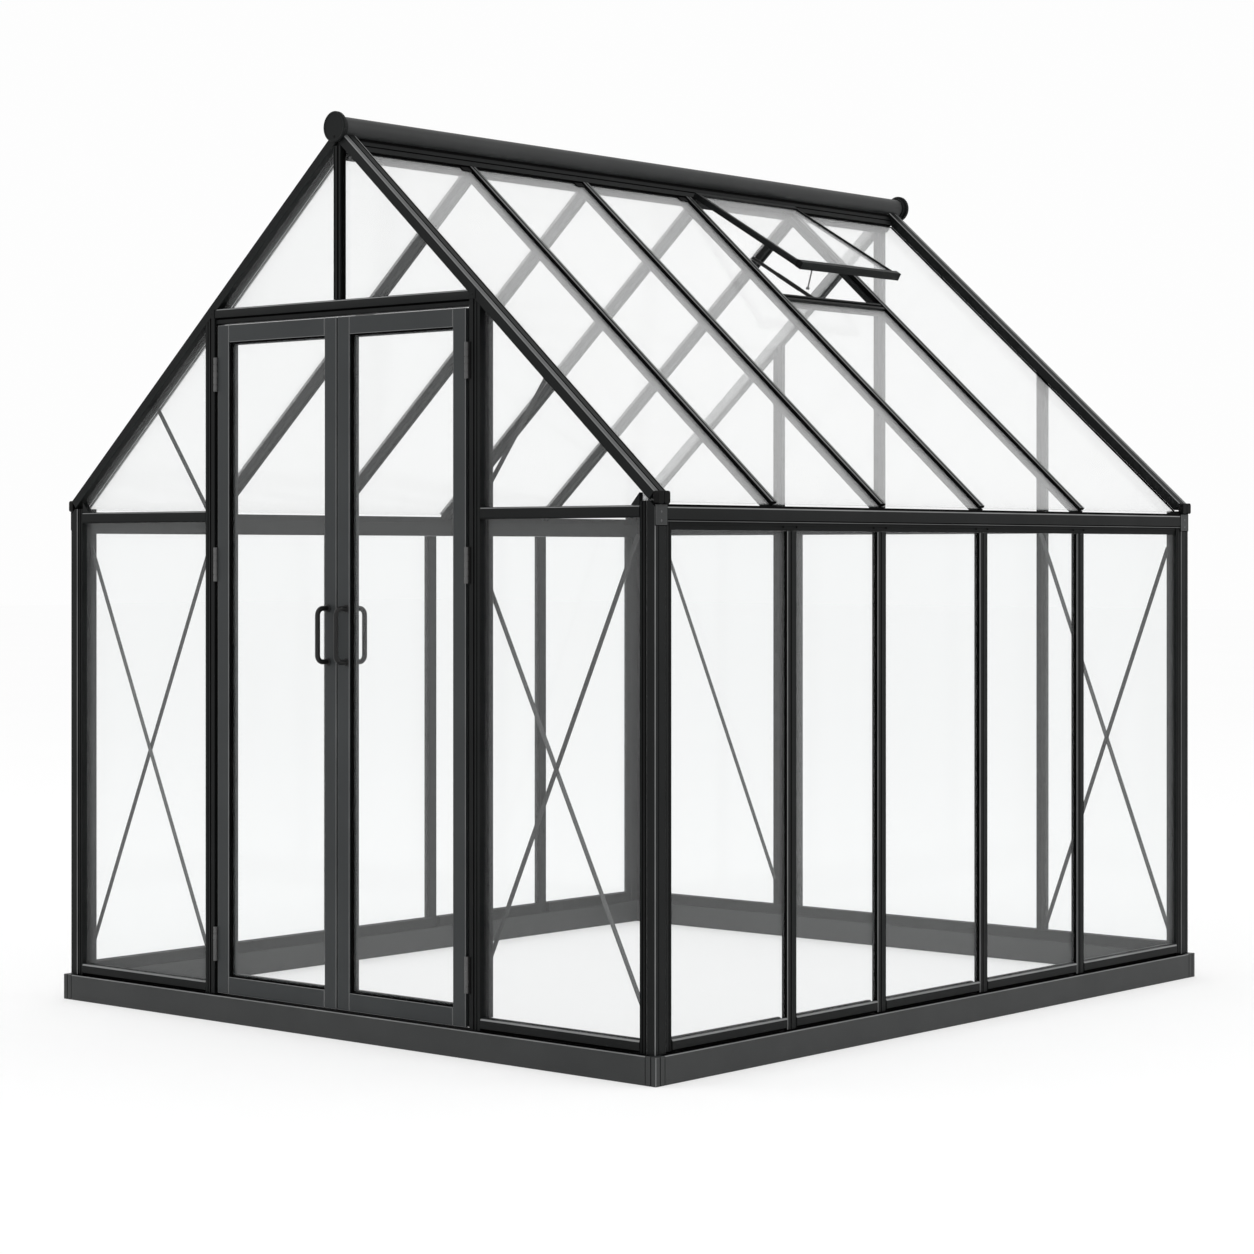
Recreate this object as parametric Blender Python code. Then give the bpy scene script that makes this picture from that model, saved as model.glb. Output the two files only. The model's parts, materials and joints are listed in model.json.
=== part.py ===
"""Walk-in gable greenhouse: aluminium frame, clear panes, double doors and a roof vent.

Metres, +Z up. The origin is the middle of the footprint on the ground. X runs across the
width, Y runs along the length and the gable with the doors faces -Y.
"""

import math

import bmesh
import bpy
from mathutils import Matrix, Vector

# Driving dimensions
WIDTH = 2.40  # across the outer faces of the side walls
LENGTH = 2.72  # across the outer faces of the gables
RIDGE_Z = 2.622  # where the outer planes of the two roof slopes meet
ROOF_SLOPE = math.radians(41.59)
EAVE_TOP = 1.5247
MULLION_LINES = {
    "left": (-0.782, -0.252, 0.234, 0.809),
    "right": (-0.773, -0.351, 0.167, 0.704),
}  # along Y, on each side wall
RAFTER_LINES = {
    "left": (-0.782, -0.252, 0.290, 0.811),
    "right": (-0.835, -0.325, 0.180, 0.737),
}  # along Y, on each roof slope
REAR_POST_LINES = (-0.4910, -0.0390, 0.6460)  # along X

GAP = 0.0003  # clearance between pieces that touch
PANE = 0.004  # thickness of every pane
PANE_DEPTH = 0.018  # from the outer face of a gable to its panes
SIDE_PANE_DEPTH = 0.012  # from the outer face of a side wall to its panes
END_BLOCK = 0.012  # solid end of a glazing bar beyond its pane slot
SHOULDER_FALL = 0.0005  # a bar's shoulder slopes this much, from cap to body
CUT_THROUGH = 0.010  # how far a cutter passes the piece that it cuts
BEYOND = 0.100  # how far the roof's cutter passes the walls
SKY_Z = 3.000  # top of the roof's cutter
ROUND_SIDES = 32
SMALL_ROUND_SIDES = 16
SMOOTH_ANGLE = math.radians(40)
WELD_DISTANCE = 0.00001
FLAT_ANGLE = 0.001  # radians; faces that differ by less are one flat face

BASE_HEIGHT = 0.0775
BASE_THICK = 0.052
BASE_PROUD = 0.016  # the base stands out beyond the walls
SILL_TOP = 0.113
SILL_BOTTOM = 0.0845  # a shadow gap separates the sill from the base
SILL_NECK = 0.010  # the sill's foot is set back this far
SILL_ROOT = 0.004  # the sill's foot sinks this far into the base

POST_FACE_X = 0.055
POST_FACE_Y = 0.044
POST_FLANGE_Y = 0.026
POST_FLANGE_SETBACK = 0.003
POST_FLANGE_INNER = 0.040  # from the wall's face to the inside of the flange
POST_FLANGE_LAP = 0.004  # the flange runs this far into the post's core
POST_TOP = 1.5340

MULLION_WIDTH = 0.042
MULLION_BODY_WIDTH = 0.034
MULLION_DEPTH = 0.024

EAVE_BOTTOM = 1.457
EAVE_STEP_Z = 1.479
EAVE_STEP = 0.006
EAVE_INNER = 0.050  # from the wall face to the inside of the gutter
GUTTER_FLOOR = 1.490
GUTTER_INNER_LIP = 1.503
GUTTER_WALL = 0.007

GABLE_RAFTER_WIDTH = 0.050
GABLE_RAFTER_DEPTH = 0.030
RAFTER_DROP = 0.024  # inner rafters lie this far below the gable rafters
RAFTER_CAP_WIDTH = 0.028
RAFTER_CAP_DEPTH = 0.010
RAFTER_BODY_WIDTH = 0.036
RAFTER_DEPTH = 0.034
RAFTER_FOOT_X = 1.185

RIDGE_TUBE_R = 0.0320
RIDGE_CAP_R = 0.0445
RIDGE_CAP_LENGTH = 0.012
RIDGE_REAR_OVERHANG = 0.030  # the cover tube runs past the rear gable
RAFTER_HEAD_CLEARANCE = 0.001  # between a gable rafter's head and the cover tube
RIDGE_FLANGE = 0.0722  # along the slope, where the rafters start

JAMB_INNER = 0.5265
JAMB_OUTER = 0.567
JAMB_DEPTH = 0.0415
HEADER_BOTTOM = 2.080
HEADER_STEP_Z = 2.098
HEADER_TOP = 2.125
HEADER_STEP = 0.006
JAMB_STOCK_TOP = HEADER_TOP + 0.100  # before the roof's slope cuts it
RAIL_BOTTOM = 1.489
RAIL_TOP = 1.522
GABLE_POST_WIDTH = 0.028
GABLE_POST_TOP = 2.5690

LEAF_OUTER = 0.512
LEAF_INNER = 0.003
LEAF_BOTTOM = 0.083
LEAF_TOP = 2.075
LEAF_THICK = 0.034
STILE = 0.048
RAIL = 0.051
DOOR_PANE_DEPTH = 0.015
HINGE_X = 0.519
HINGE_Y_PROUD = 0.0025
HINGE_R = 0.0066
HINGE_LENGTH = 0.102
HINGE_WEB_LAP = 0.004  # the web runs this far into the stile
HINGE_WEB_FACE = 0.0005  # the web lies this far behind the stile's face
HINGE_WEB_INSET = 0.0008  # the web's inner face lies this far inside the knuckle
HINGE_HEIGHTS = (0.229, 1.362, 1.929)
HANDLE_X = 0.038
HANDLE_R = 0.0075
HANDLE_HOLE_R = 0.0080
HANDLE_REACH = 0.040
HANDLE_BOTTOM = 1.0825
HANDLE_TOP = 1.2365
HANDLE_CORNER = 0.020
HANDLE_CORNER_STEPS = 5
HANDLE_BEVEL_STEPS = 2

REAR_POST_WIDTH = 0.023
REAR_POST_BODY_WIDTH = 0.020
REAR_POST_DEPTH = 0.043
REAR_RAIL_BOTTOM = 1.463
REAR_RAIL_DEPTH = 0.016
REAR_RAIL_SETBACK = 0.0005
SHORT_POST_X = -0.410  # a slim post that stops at the rear rail
SHORT_POST_WIDTH = 0.026
SHORT_POST_DEPTH = 0.015
SHORT_POST_SETBACK = 0.001
SHORT_POST_LAP = 0.010  # its head runs this far into the rail

BRACE_WIDTH = 0.014
BRACE_THICK = 0.003
# Each arm runs between two (x, z) points. The rear left panel has a single arm.
BRACE_ARMS = {
    "brace_front_left": (
        ((-1.152, 1.412), (-0.574, 0.123)),
        ((-1.152, 0.166), (-0.570, 1.486)),
        ((-0.575, 1.481), (-0.850, 1.855)),
    ),
    "brace_front_right": (
        ((1.103, 1.445), (0.547, 0.238)),
        ((1.150, 0.123), (0.547, 1.325)),
        ((0.547, 1.310), (0.547, 1.580)),
        ((0.547, 1.567), (0.785, 1.890)),
    ),
    "brace_rear_left": (((-1.023, 1.445), (-0.491, 0.2075)),),
    "brace_rear_right": (
        ((0.645, 1.490), (1.152, 0.160)),
        ((0.675, 0.123), (1.152, 1.414)),
    ),
}

VENT_BAY = 2  # the vent lies between this rafter line and the next, counted from 0
VENT_WIDTH = 0.530
VENT_AXIS_S = 0.082  # hinge axis, along the slope from the ridge
VENT_AXIS_V = -0.0125  # hinge axis, out of the gable rafters' plane
VENT_OPEN = math.radians(11.0)
VENT_LENGTH = 0.505
VENT_HEEL = 0.004  # the frame runs this far up the slope past its axis
VENT_LOW = -0.008  # underside of the frame, from the hinge axis
VENT_HIGH = 0.011
VENT_TOP_RAIL = 0.014
VENT_SIDE = 0.018
VENT_BOTTOM_RAIL = 0.024
VENT_LIP_LOW = -0.009
VENT_LIP_HIGH = 0.016
VENT_LIP_PROUD = 0.001
VENT_NOTCH_MARGIN = 0.010  # from a rafter line to the edge of the hole in the panes
SEAT_TOP_S = 0.575  # the cross bar that the vent closes on
SEAT_BOTTOM_S = 0.605
STAY_Y = 0.400
STAY_AXIS_S = 0.566
STAY_AXIS_V = -0.046
STAY_LENGTH = 0.306
STAY_R = 0.0070
STAY_EYE_R = 0.0085
STAY_EYE_HALF = 0.009

# Colour, roughness, metallic and, for a pane, alpha.
METAL_LOOK = ((0.045, 0.050, 0.050), 0.45, 0.35)
PANE_LOOK = ((0.90, 0.92, 0.92), 0.05, 0.0, 0.25)
COLLECTION = "greenhouse"
CUTTERS = "cutters"
FRONT = -LENGTH / 2
REAR = LENGTH / 2
SIDE = WIDTH / 2
COS = math.cos(ROOF_SLOPE)
SIN = math.sin(ROOF_SLOPE)
X_AXIS = Vector((1, 0, 0))
Y_AXIS = Vector((0, 1, 0))
Z_AXIS = Vector((0, 0, 1))


def clear_scene():
    for obj in list(bpy.data.objects):
        bpy.data.objects.remove(obj, do_unlink=True)
    for name in (COLLECTION, CUTTERS):
        bpy.context.scene.collection.children.link(bpy.data.collections.new(name))


def make_material(name, color, roughness, metallic, alpha=1.0):
    material = bpy.data.materials.new(name)
    material.use_nodes = True
    shader = material.node_tree.nodes["Principled BSDF"]
    shader.inputs["Base Color"].default_value = (*color, 1.0)
    shader.inputs["Roughness"].default_value = roughness
    shader.inputs["Metallic"].default_value = metallic
    shader.inputs["Alpha"].default_value = alpha
    return material


def add_object(name, mesh, material, collection=COLLECTION):
    obj = bpy.data.objects.new(name, mesh)
    bpy.data.collections[collection].objects.link(obj)
    if material:
        mesh.materials.append(material)
    return obj


def extruded_mesh(name, outline, length):
    """A closed outline in local XY, extruded along local Z and centred on it."""
    curve = bpy.data.curves.new(name, "CURVE")
    curve.dimensions = "2D"
    curve.fill_mode = "BOTH"
    curve.extrude = length / 2
    spline = curve.splines.new("POLY")
    spline.points.add(len(outline) - 1)
    for point, (x, y) in zip(spline.points, outline):
        point.co = (x, y, 0, 1)
    spline.use_cyclic_u = True
    return mesh_of_curve(name, curve)


def mesh_of_curve(name, curve):
    """The mesh of a curve object, with its loose caps welded on."""
    guide = bpy.data.objects.new(name + "_curve", curve)
    bpy.context.scene.collection.objects.link(guide)
    depsgraph = bpy.context.evaluated_depsgraph_get()
    mesh = bpy.data.meshes.new_from_object(guide.evaluated_get(depsgraph))
    bpy.data.objects.remove(guide)
    bm = bmesh.new()
    bm.from_mesh(mesh)
    bmesh.ops.remove_doubles(bm, verts=bm.verts, dist=WELD_DISTANCE)
    bmesh.ops.dissolve_limit(bm, angle_limit=FLAT_ANGLE, verts=bm.verts, edges=bm.edges)
    bmesh.ops.recalc_face_normals(bm, faces=bm.faces)
    bm.to_mesh(mesh)
    bm.free()
    mesh.name = name
    return mesh


def bar(name, outline, start, end, up, material, collection=COLLECTION):
    """An extrusion from start to end whose outline's +Y points along up."""
    start = Vector(start)
    end = Vector(end)
    along = (end - start).normalized()
    up = Vector(up)
    across = up.cross(along)
    obj = add_object(name, extruded_mesh(name, outline, (end - start).length), material, collection)
    obj.location = (start + end) / 2
    obj.rotation_euler = Matrix((across, up, along)).transposed().to_euler()
    return obj


def rectangle(width, low, high):
    half = width / 2
    return [(-half, low), (half, low), (half, high), (-half, high)]


def box(name, corner, opposite, material, collection=COLLECTION):
    """A box between two opposite corners, in any order on each axis."""
    ends = [sorted(pair) for pair in zip(corner, opposite)]
    low = Vector([end[0] for end in ends])
    high = Vector([end[1] for end in ends])
    bm = bmesh.new()
    bmesh.ops.create_cube(bm, size=1.0)
    bmesh.ops.scale(bm, vec=high - low, verts=bm.verts)
    mesh = bpy.data.meshes.new(name)
    bm.to_mesh(mesh)
    bm.free()
    obj = add_object(name, mesh, material, collection)
    obj.location = (low + high) / 2
    return obj


def cylinder(name, radius, start, end, material, sides=ROUND_SIDES, collection=COLLECTION):
    start = Vector(start)
    end = Vector(end)
    bm = bmesh.new()
    bmesh.ops.create_cone(
        bm, cap_ends=True, segments=sides, radius1=radius, radius2=radius, depth=(end - start).length
    )
    mesh = bpy.data.meshes.new(name)
    bm.to_mesh(mesh)
    bm.free()
    obj = add_object(name, mesh, material, collection)
    obj.location = (start + end) / 2
    obj.rotation_euler = (end - start).to_track_quat("Z", "Y").to_euler()
    mesh.shade_smooth()
    mesh.set_sharp_from_angle(angle=SMOOTH_ANGLE)
    return obj


def as_cutter(obj):
    obj.hide_render = True
    obj.display_type = "WIRE"
    return obj


def combine(obj, other, operation):
    modifier = obj.modifiers.new(other.name, "BOOLEAN")
    modifier.operation = operation
    modifier.object = as_cutter(other)
    modifier.solver = "EXACT"
    return obj


def cut(obj, other):
    return combine(obj, other, "DIFFERENCE")


def join(obj, other):
    return combine(obj, other, "UNION")


def stepped_profile(cap_width, body_width, top, step, bottom):
    """A glazing bar's section: an outer cap, a slightly sloped shoulder and an inner body."""
    cap = cap_width / 2
    body = body_width / 2
    shoulder = step - SHOULDER_FALL
    return [
        (-cap, top),
        (-cap, step),
        (-body, shoulder),
        (-body, bottom),
        (body, bottom),
        (body, shoulder),
        (cap, step),
        (cap, top),
    ]


def roof_point(side, s, y, v):
    """s runs down the slope from the ridge, v runs out of the slope."""
    return Vector((side * (s * COS + v * SIN), y, RIDGE_Z - s * SIN + v * COS))


def roof_up(side):
    return Vector((side * SIN, 0, COS))


def slope_length(x, v=0.0):
    """The distance down the slope at which a point v out of it reaches x."""
    return (x - v * SIN) / COS


def rafter_underside(x):
    """Height of the gable rafters' lower face above the point x."""
    return RIDGE_Z - (GABLE_RAFTER_DEPTH + abs(x) * SIN) / COS


class Cutters:
    """Shapes shared by many pieces: the space of each pane and of the roof."""

    def __init__(self):
        self.roof = self.above_rafters()
        self.wall = {side: self.wall_slot(side) for side in (-1, 1)}
        self.slope = {side: self.slope_slot(side) for side in (-1, 1)}
        self.rear = self.rear_slot()

    def above_rafters(self):
        far = SIDE + BEYOND
        low = rafter_underside(far) - GAP
        peak = rafter_underside(0) - GAP
        outline = [(-far, low), (0, peak), (far, low), (far, SKY_Z), (-far, SKY_Z)]
        start = (0, LENGTH, 0)
        return bar("roof_space", outline, start, (0, -LENGTH, 0), Z_AXIS, None, CUTTERS)

    def wall_slot(self, side):
        outer = SIDE - SIDE_PANE_DEPTH + GAP
        inner = SIDE - SIDE_PANE_DEPTH - PANE - GAP
        low = (side * outer, FRONT, SILL_TOP + END_BLOCK)
        high = (side * inner, REAR, EAVE_BOTTOM - END_BLOCK)
        return box(f"wall_slot{side}", low, high, None, CUTTERS)

    def slope_slot(self, side):
        top = -RAFTER_DROP - RAFTER_CAP_DEPTH
        outline = rectangle(LENGTH, top - PANE - GAP, top + GAP)
        start = roof_point(side, RIDGE_FLANGE + END_BLOCK, 0, 0)
        end = roof_point(side, slope_length(RAFTER_FOOT_X, -RAFTER_DROP) - END_BLOCK * 2, 0, 0)
        return bar(f"slope_slot{side}", outline, start, end, roof_up(side), None, CUTTERS)

    def rear_slot(self):
        outline = gable_outline(SIDE, SILL_TOP + END_BLOCK, END_BLOCK)
        start = (0, REAR - PANE_DEPTH + GAP, 0)
        end = (0, REAR - PANE_DEPTH - PANE - GAP, 0)
        return bar("rear_slot", outline, start, end, Z_AXIS, None, CUTTERS)


def gable_outline(half_width, bottom, below_rafters):
    """A house-shaped outline that stays the given height under the gable rafters."""
    shoulder = rafter_underside(half_width) - below_rafters
    peak = GABLE_POST_TOP - below_rafters
    peak_x = (rafter_underside(0) - below_rafters - peak) * COS / SIN
    return [
        (-half_width, bottom),
        (half_width, bottom),
        (half_width, shoulder),
        (peak_x, peak),
        (-peak_x, peak),
        (-half_width, shoulder),
    ]


def wall_bar(name, outline, outward, start, end, material, collection=COLLECTION):
    """A level bar on a wall. The outline is (height, distance out of the wall's face)."""
    outward = Vector(outward)
    face = outward * (SIDE if abs(outward.x) > 0.5 else LENGTH / 2)
    along = Z_AXIS.cross(outward)
    return bar(name, outline, face + along * start, face + along * end, outward, material, collection)


def sill_profile():
    inner = BASE_PROUD - BASE_THICK
    root = BASE_HEIGHT - SILL_ROOT
    return [
        (root, inner),
        (root, -SILL_NECK),
        (SILL_BOTTOM, -SILL_NECK),
        (SILL_BOTTOM, 0),
        (SILL_TOP, 0),
        (SILL_TOP, inner),
    ]


def base_rail(name, outward, half_length, sills, metal):
    """One side of the plinth, with the sills that the panes stand on."""
    low = BASE_PROUD - BASE_THICK
    outline = [(0, low), (0, BASE_PROUD), (BASE_HEIGHT, BASE_PROUD), (BASE_HEIGHT, low)]
    rail = wall_bar(name, outline, outward, -half_length, half_length, metal)
    for index, (start, end) in enumerate(sills):
        sill = wall_bar(f"{name}_sill{index}", sill_profile(), outward, start, end, None, CUTTERS)
        join(rail, sill)
    return rail


def build_base(metal):
    corner_x = SIDE - POST_FACE_X - GAP
    corner_y = LENGTH / 2 - POST_FACE_Y - POST_FLANGE_Y - GAP
    full = SIDE + BASE_PROUD
    between = LENGTH / 2 + BASE_PROUD - BASE_THICK - GAP
    door = JAMB_OUTER + GAP
    base_rail("base_rail_left", -X_AXIS, between, [(-corner_y, corner_y)], metal)
    base_rail("base_rail_right", X_AXIS, between, [(-corner_y, corner_y)], metal)
    base_rail("base_rail_rear", Y_AXIS, full, [(-corner_x, corner_x)], metal)
    base_rail("base_rail_front", -Y_AXIS, full, [(-corner_x, -door), (door, corner_x)], metal)


def build_corner_posts(metal, cutters):
    for end_name, end in (("front", -1), ("rear", 1)):
        for side_name, side in (("left", -1), ("right", 1)):
            name = f"corner_post_{end_name}_{side_name}"
            inner_y = LENGTH / 2 - POST_FACE_Y
            low = (side * SIDE, end * LENGTH / 2, BASE_HEIGHT + GAP)
            high = (side * (SIDE - POST_FACE_X), end * inner_y, POST_TOP)
            post = box(name, low, high, metal)
            root_y = inner_y + POST_FLANGE_LAP
            low = (side * (SIDE - POST_FLANGE_SETBACK), end * root_y, BASE_HEIGHT + GAP)
            tip_y = inner_y - POST_FLANGE_Y
            high = (side * (SIDE - POST_FLANGE_INNER), end * tip_y, EAVE_BOTTOM - GAP)
            join(post, box(f"{name}_flange", low, high, None, CUTTERS))
            cut(post, cutters.roof)


def build_side_walls(metal, clear, cutters):
    half = LENGTH / 2 - POST_FACE_Y - GAP
    pane_half = LENGTH / 2 - POST_FACE_Y - POST_FLANGE_Y - GAP
    profile = stepped_profile(MULLION_WIDTH, MULLION_BODY_WIDTH, 0, -SIDE_PANE_DEPTH, -MULLION_DEPTH)
    for name, side in (("left", -1), ("right", 1)):
        outward = X_AXIS * side
        for index, y in enumerate(MULLION_LINES[name], 1):
            foot = (side * SIDE, y, SILL_TOP + GAP)
            head = (side * SIDE, y, EAVE_BOTTOM - GAP)
            mullion = bar(f"mullion_{name}_{index}", profile, foot, head, outward, metal)
            cut(mullion, cutters.wall[side])
        wall_bar(f"eave_rail_{name}", eave_profile(), outward, -half, half, metal)
        low = SILL_TOP + END_BLOCK + GAP
        high = EAVE_BOTTOM - END_BLOCK - GAP
        outer = -SIDE_PANE_DEPTH
        inner = outer - PANE
        outline = [(low, outer), (high, outer), (high, inner), (low, inner)]
        wall_bar(f"wall_panes_{name}", outline, outward, -pane_half, pane_half, clear)


def eave_profile():
    """A gutter: tall fascia with a recessed lower strip, a channel and a low inner lip."""
    return [
        (EAVE_TOP, 0),
        (EAVE_STEP_Z, 0),
        (EAVE_STEP_Z, -EAVE_STEP),
        (EAVE_BOTTOM, -EAVE_STEP),
        (EAVE_BOTTOM, -EAVE_INNER),
        (GUTTER_INNER_LIP, -EAVE_INNER),
        (GUTTER_INNER_LIP, GUTTER_WALL - EAVE_INNER),
        (GUTTER_FLOOR, GUTTER_WALL - EAVE_INNER),
        (GUTTER_FLOOR, -GUTTER_WALL),
        (EAVE_TOP, -GUTTER_WALL),
    ]


def build_ridge(metal):
    """The ridge extrusion with its round cover tube and the tube's two end caps."""
    centre = Vector((0, 0, RIDGE_Z))
    cap_faces = {"front": FRONT - GAP, "rear": REAR + RIDGE_REAR_OVERHANG}
    half_cap = Y_AXIS * RIDGE_CAP_LENGTH / 2
    tube_front = centre + Y_AXIS * cap_faces["front"] - half_cap
    tube_rear = centre + Y_AXIS * cap_faces["rear"] + half_cap
    ridge = cylinder("ridge_bar", RIDGE_TUBE_R, tube_front, tube_rear, metal)
    outer = roof_point(1, RIDGE_FLANGE, 0, -RAFTER_DROP)
    inner = roof_point(1, RIDGE_FLANGE, 0, -RAFTER_DROP - RAFTER_DEPTH)
    outline = [
        (-inner.x, inner.z),
        (0, RIDGE_Z - (RAFTER_DROP + RAFTER_DEPTH) / COS),
        (inner.x, inner.z),
        (outer.x, outer.z),
        (0, RIDGE_Z),
        (-outer.x, outer.z),
    ]
    reach = REAR - GABLE_RAFTER_WIDTH - GAP
    join(ridge, bar("ridge_flange", outline, (0, reach, 0), (0, -reach, 0), Z_AXIS, None, CUTTERS))
    for name, face_y in cap_faces.items():
        inner_face = centre + Y_AXIS * face_y
        outer_face = inner_face + Y_AXIS * math.copysign(RIDGE_CAP_LENGTH, face_y)
        cap_name = f"ridge_cap_{name}"
        join(ridge, cylinder(cap_name, RIDGE_CAP_R, inner_face, outer_face, None, ROUND_SIDES, CUTTERS))


def build_rafters(metal, cutters):
    top = -RAFTER_DROP
    profile = stepped_profile(
        RAFTER_CAP_WIDTH, RAFTER_BODY_WIDTH, top, top - RAFTER_CAP_DEPTH, top - RAFTER_DEPTH
    )
    gable_profile = rectangle(GABLE_RAFTER_WIDTH, -GABLE_RAFTER_DEPTH, 0)
    gable_y = (LENGTH - GABLE_RAFTER_WIDTH) / 2
    gable_head_s = RIDGE_TUBE_R + RAFTER_HEAD_CLEARANCE
    foot_s = slope_length(RAFTER_FOOT_X, top)
    for name, side in (("left", -1), ("right", 1)):
        lines = RAFTER_LINES[name]
        last = len(lines) + 2
        for number, y in ((1, -gable_y), (last, gable_y)):
            head = roof_point(side, gable_head_s, y, 0)
            foot = roof_point(side, slope_length(SIDE), y, 0)
            bar(f"rafter_{name}_{number}", gable_profile, head, foot, roof_up(side), metal)
        for number, y in enumerate(lines, 2):
            head = roof_point(side, RIDGE_FLANGE + GAP, y, 0)
            foot = roof_point(side, foot_s, y, 0)
            rafter = bar(f"rafter_{name}_{number}", profile, head, foot, roof_up(side), metal)
            cut(rafter, cutters.slope[side])


def vent_bay():
    """The two lines of the right slope's rafters that the vent lies between."""
    return RAFTER_LINES["right"][VENT_BAY : VENT_BAY + 2]


def build_roof_panes(clear):
    """One sheet per slope. The right one is notched for the vent."""
    top_s = RIDGE_FLANGE + END_BLOCK + GAP
    foot_s = slope_length(RAFTER_FOOT_X, -RAFTER_DROP) - END_BLOCK * 2 - GAP
    half = LENGTH / 2 - GABLE_RAFTER_WIDTH - GAP
    vent_low_y, vent_high_y = vent_bay()
    notch = (vent_low_y + VENT_NOTCH_MARGIN, vent_high_y - VENT_NOTCH_MARGIN)
    notch_s = SEAT_BOTTOM_S + GAP
    plain = [(-half, top_s), (-half, foot_s), (half, foot_s), (half, top_s)]
    notched = plain + [(notch[1], top_s), (notch[1], notch_s), (notch[0], notch_s), (notch[0], top_s)]
    top = -RAFTER_DROP - RAFTER_CAP_DEPTH
    for name, side, outline in (("left", -1, plain), ("right", 1, notched)):
        sheet = extruded_mesh(f"roof_panes_{name}", outline, PANE)
        obj = add_object(f"roof_panes_{name}", sheet, clear)
        down = roof_point(side, 1, 0, 0) - roof_point(side, 0, 0, 0)
        obj.location = roof_point(side, 0, 0, top - PANE / 2)
        obj.rotation_euler = Matrix((Y_AXIS, down, Y_AXIS.cross(down))).transposed().to_euler()


def build_front(metal, clear, cutters):
    for name, side in (("left", -1), ("right", 1)):
        low = (side * JAMB_INNER, FRONT, BASE_HEIGHT + GAP)
        high = (side * JAMB_OUTER, FRONT + JAMB_DEPTH, JAMB_STOCK_TOP)
        cut(box(f"door_jamb_{name}", low, high, metal), cutters.roof)
        post_x = SIDE - POST_FACE_X - GAP
        low = (side * (JAMB_OUTER + GAP), FRONT, RAIL_BOTTOM)
        high = (side * post_x, FRONT + PANE_DEPTH - GAP, RAIL_TOP)
        box(f"front_rail_{name}", low, high, metal)
        near = JAMB_OUTER + GAP
        outline = [
            (side * near, SILL_TOP + GAP),
            (side * post_x, SILL_TOP + GAP),
            (side * post_x, rafter_underside(post_x) - GAP * 2),
            (side * near, rafter_underside(near) - GAP * 2),
        ]
        front_pane(f"front_pane_{name}", outline, clear)
    outline = [
        (HEADER_BOTTOM, -JAMB_DEPTH),
        (HEADER_BOTTOM, -HEADER_STEP),
        (HEADER_STEP_Z, -HEADER_STEP),
        (HEADER_STEP_Z, 0),
        (HEADER_TOP, 0),
        (HEADER_TOP, -JAMB_DEPTH),
    ]
    half = JAMB_INNER - GAP
    cut(wall_bar("door_header", outline, -Y_AXIS, -half, half, metal), cutters.roof)
    low = (-GABLE_POST_WIDTH / 2, FRONT, HEADER_TOP + GAP)
    high = (GABLE_POST_WIDTH / 2, FRONT + PANE_DEPTH - GAP, GABLE_POST_TOP)
    box("gable_post_front", low, high, metal)
    bottom = HEADER_TOP + GAP
    slant = GAP * 2
    half = (rafter_underside(0) - slant - bottom) * COS / SIN
    peak_x = (rafter_underside(0) - slant - GABLE_POST_TOP) * COS / SIN
    outline = [(-half, bottom), (half, bottom), (peak_x, GABLE_POST_TOP), (-peak_x, GABLE_POST_TOP)]
    front_pane("front_pane_gable", outline, clear)


def front_pane(name, outline, clear):
    start = (0, FRONT + PANE_DEPTH + PANE, 0)
    return bar(name, outline, start, (0, FRONT + PANE_DEPTH, 0), Z_AXIS, clear)


def build_rear(metal, clear, cutters):
    """The rear gable's posts and rail as one frame, and its panes as one sheet."""
    post_x = SIDE - POST_FACE_X - GAP
    low = (-post_x, REAR - REAR_RAIL_DEPTH, REAR_RAIL_BOTTOM)
    frame = box("rear_frame", low, (post_x, REAR - REAR_RAIL_SETBACK, RAIL_TOP), metal)
    profile = stepped_profile(
        REAR_POST_WIDTH, REAR_POST_BODY_WIDTH, 0, -PANE_DEPTH, -REAR_POST_DEPTH
    )
    for index, x in enumerate(REAR_POST_LINES):
        foot = (x, REAR, SILL_TOP + GAP)
        head = (x, REAR, GABLE_POST_TOP)
        join(frame, bar(f"rear_post{index}", profile, foot, head, Y_AXIS, None, CUTTERS))
    half = SHORT_POST_WIDTH / 2
    low = (SHORT_POST_X - half, REAR - SHORT_POST_DEPTH, SILL_TOP + GAP)
    high = (SHORT_POST_X + half, REAR - SHORT_POST_SETBACK, REAR_RAIL_BOTTOM + SHORT_POST_LAP)
    join(frame, box("rear_short_post", low, high, None, CUTTERS))
    cut(frame, cutters.roof)
    cut(frame, cutters.rear)
    outline = gable_outline(post_x, SILL_TOP + END_BLOCK + GAP, END_BLOCK + GAP)
    start = (0, REAR - PANE_DEPTH, 0)
    bar("rear_panes", outline, start, (0, REAR - PANE_DEPTH - PANE, 0), Z_AXIS, clear)


def brace_arm(name, end, start, finish, material, collection):
    """A flat strip between two (x, z) points, just inside the posts of a gable."""
    face = end * (LENGTH / 2 - POST_FACE_Y - GAP)
    outline = rectangle(BRACE_WIDTH, -BRACE_THICK, 0)
    start = (start[0], face, start[1])
    finish = (finish[0], face, finish[1])
    return bar(name, outline, start, finish, Y_AXIS * end, material, collection)


def build_braces(metal, cutters):
    for name, arms in BRACE_ARMS.items():
        end = -1 if "front" in name else 1
        brace = brace_arm(name, end, *arms[0], metal, COLLECTION)
        for index, arm in enumerate(arms[1:]):
            join(brace, brace_arm(f"{name}_arm{index}", end, *arm, None, CUTTERS))
        cut(brace, cutters.roof)


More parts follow.
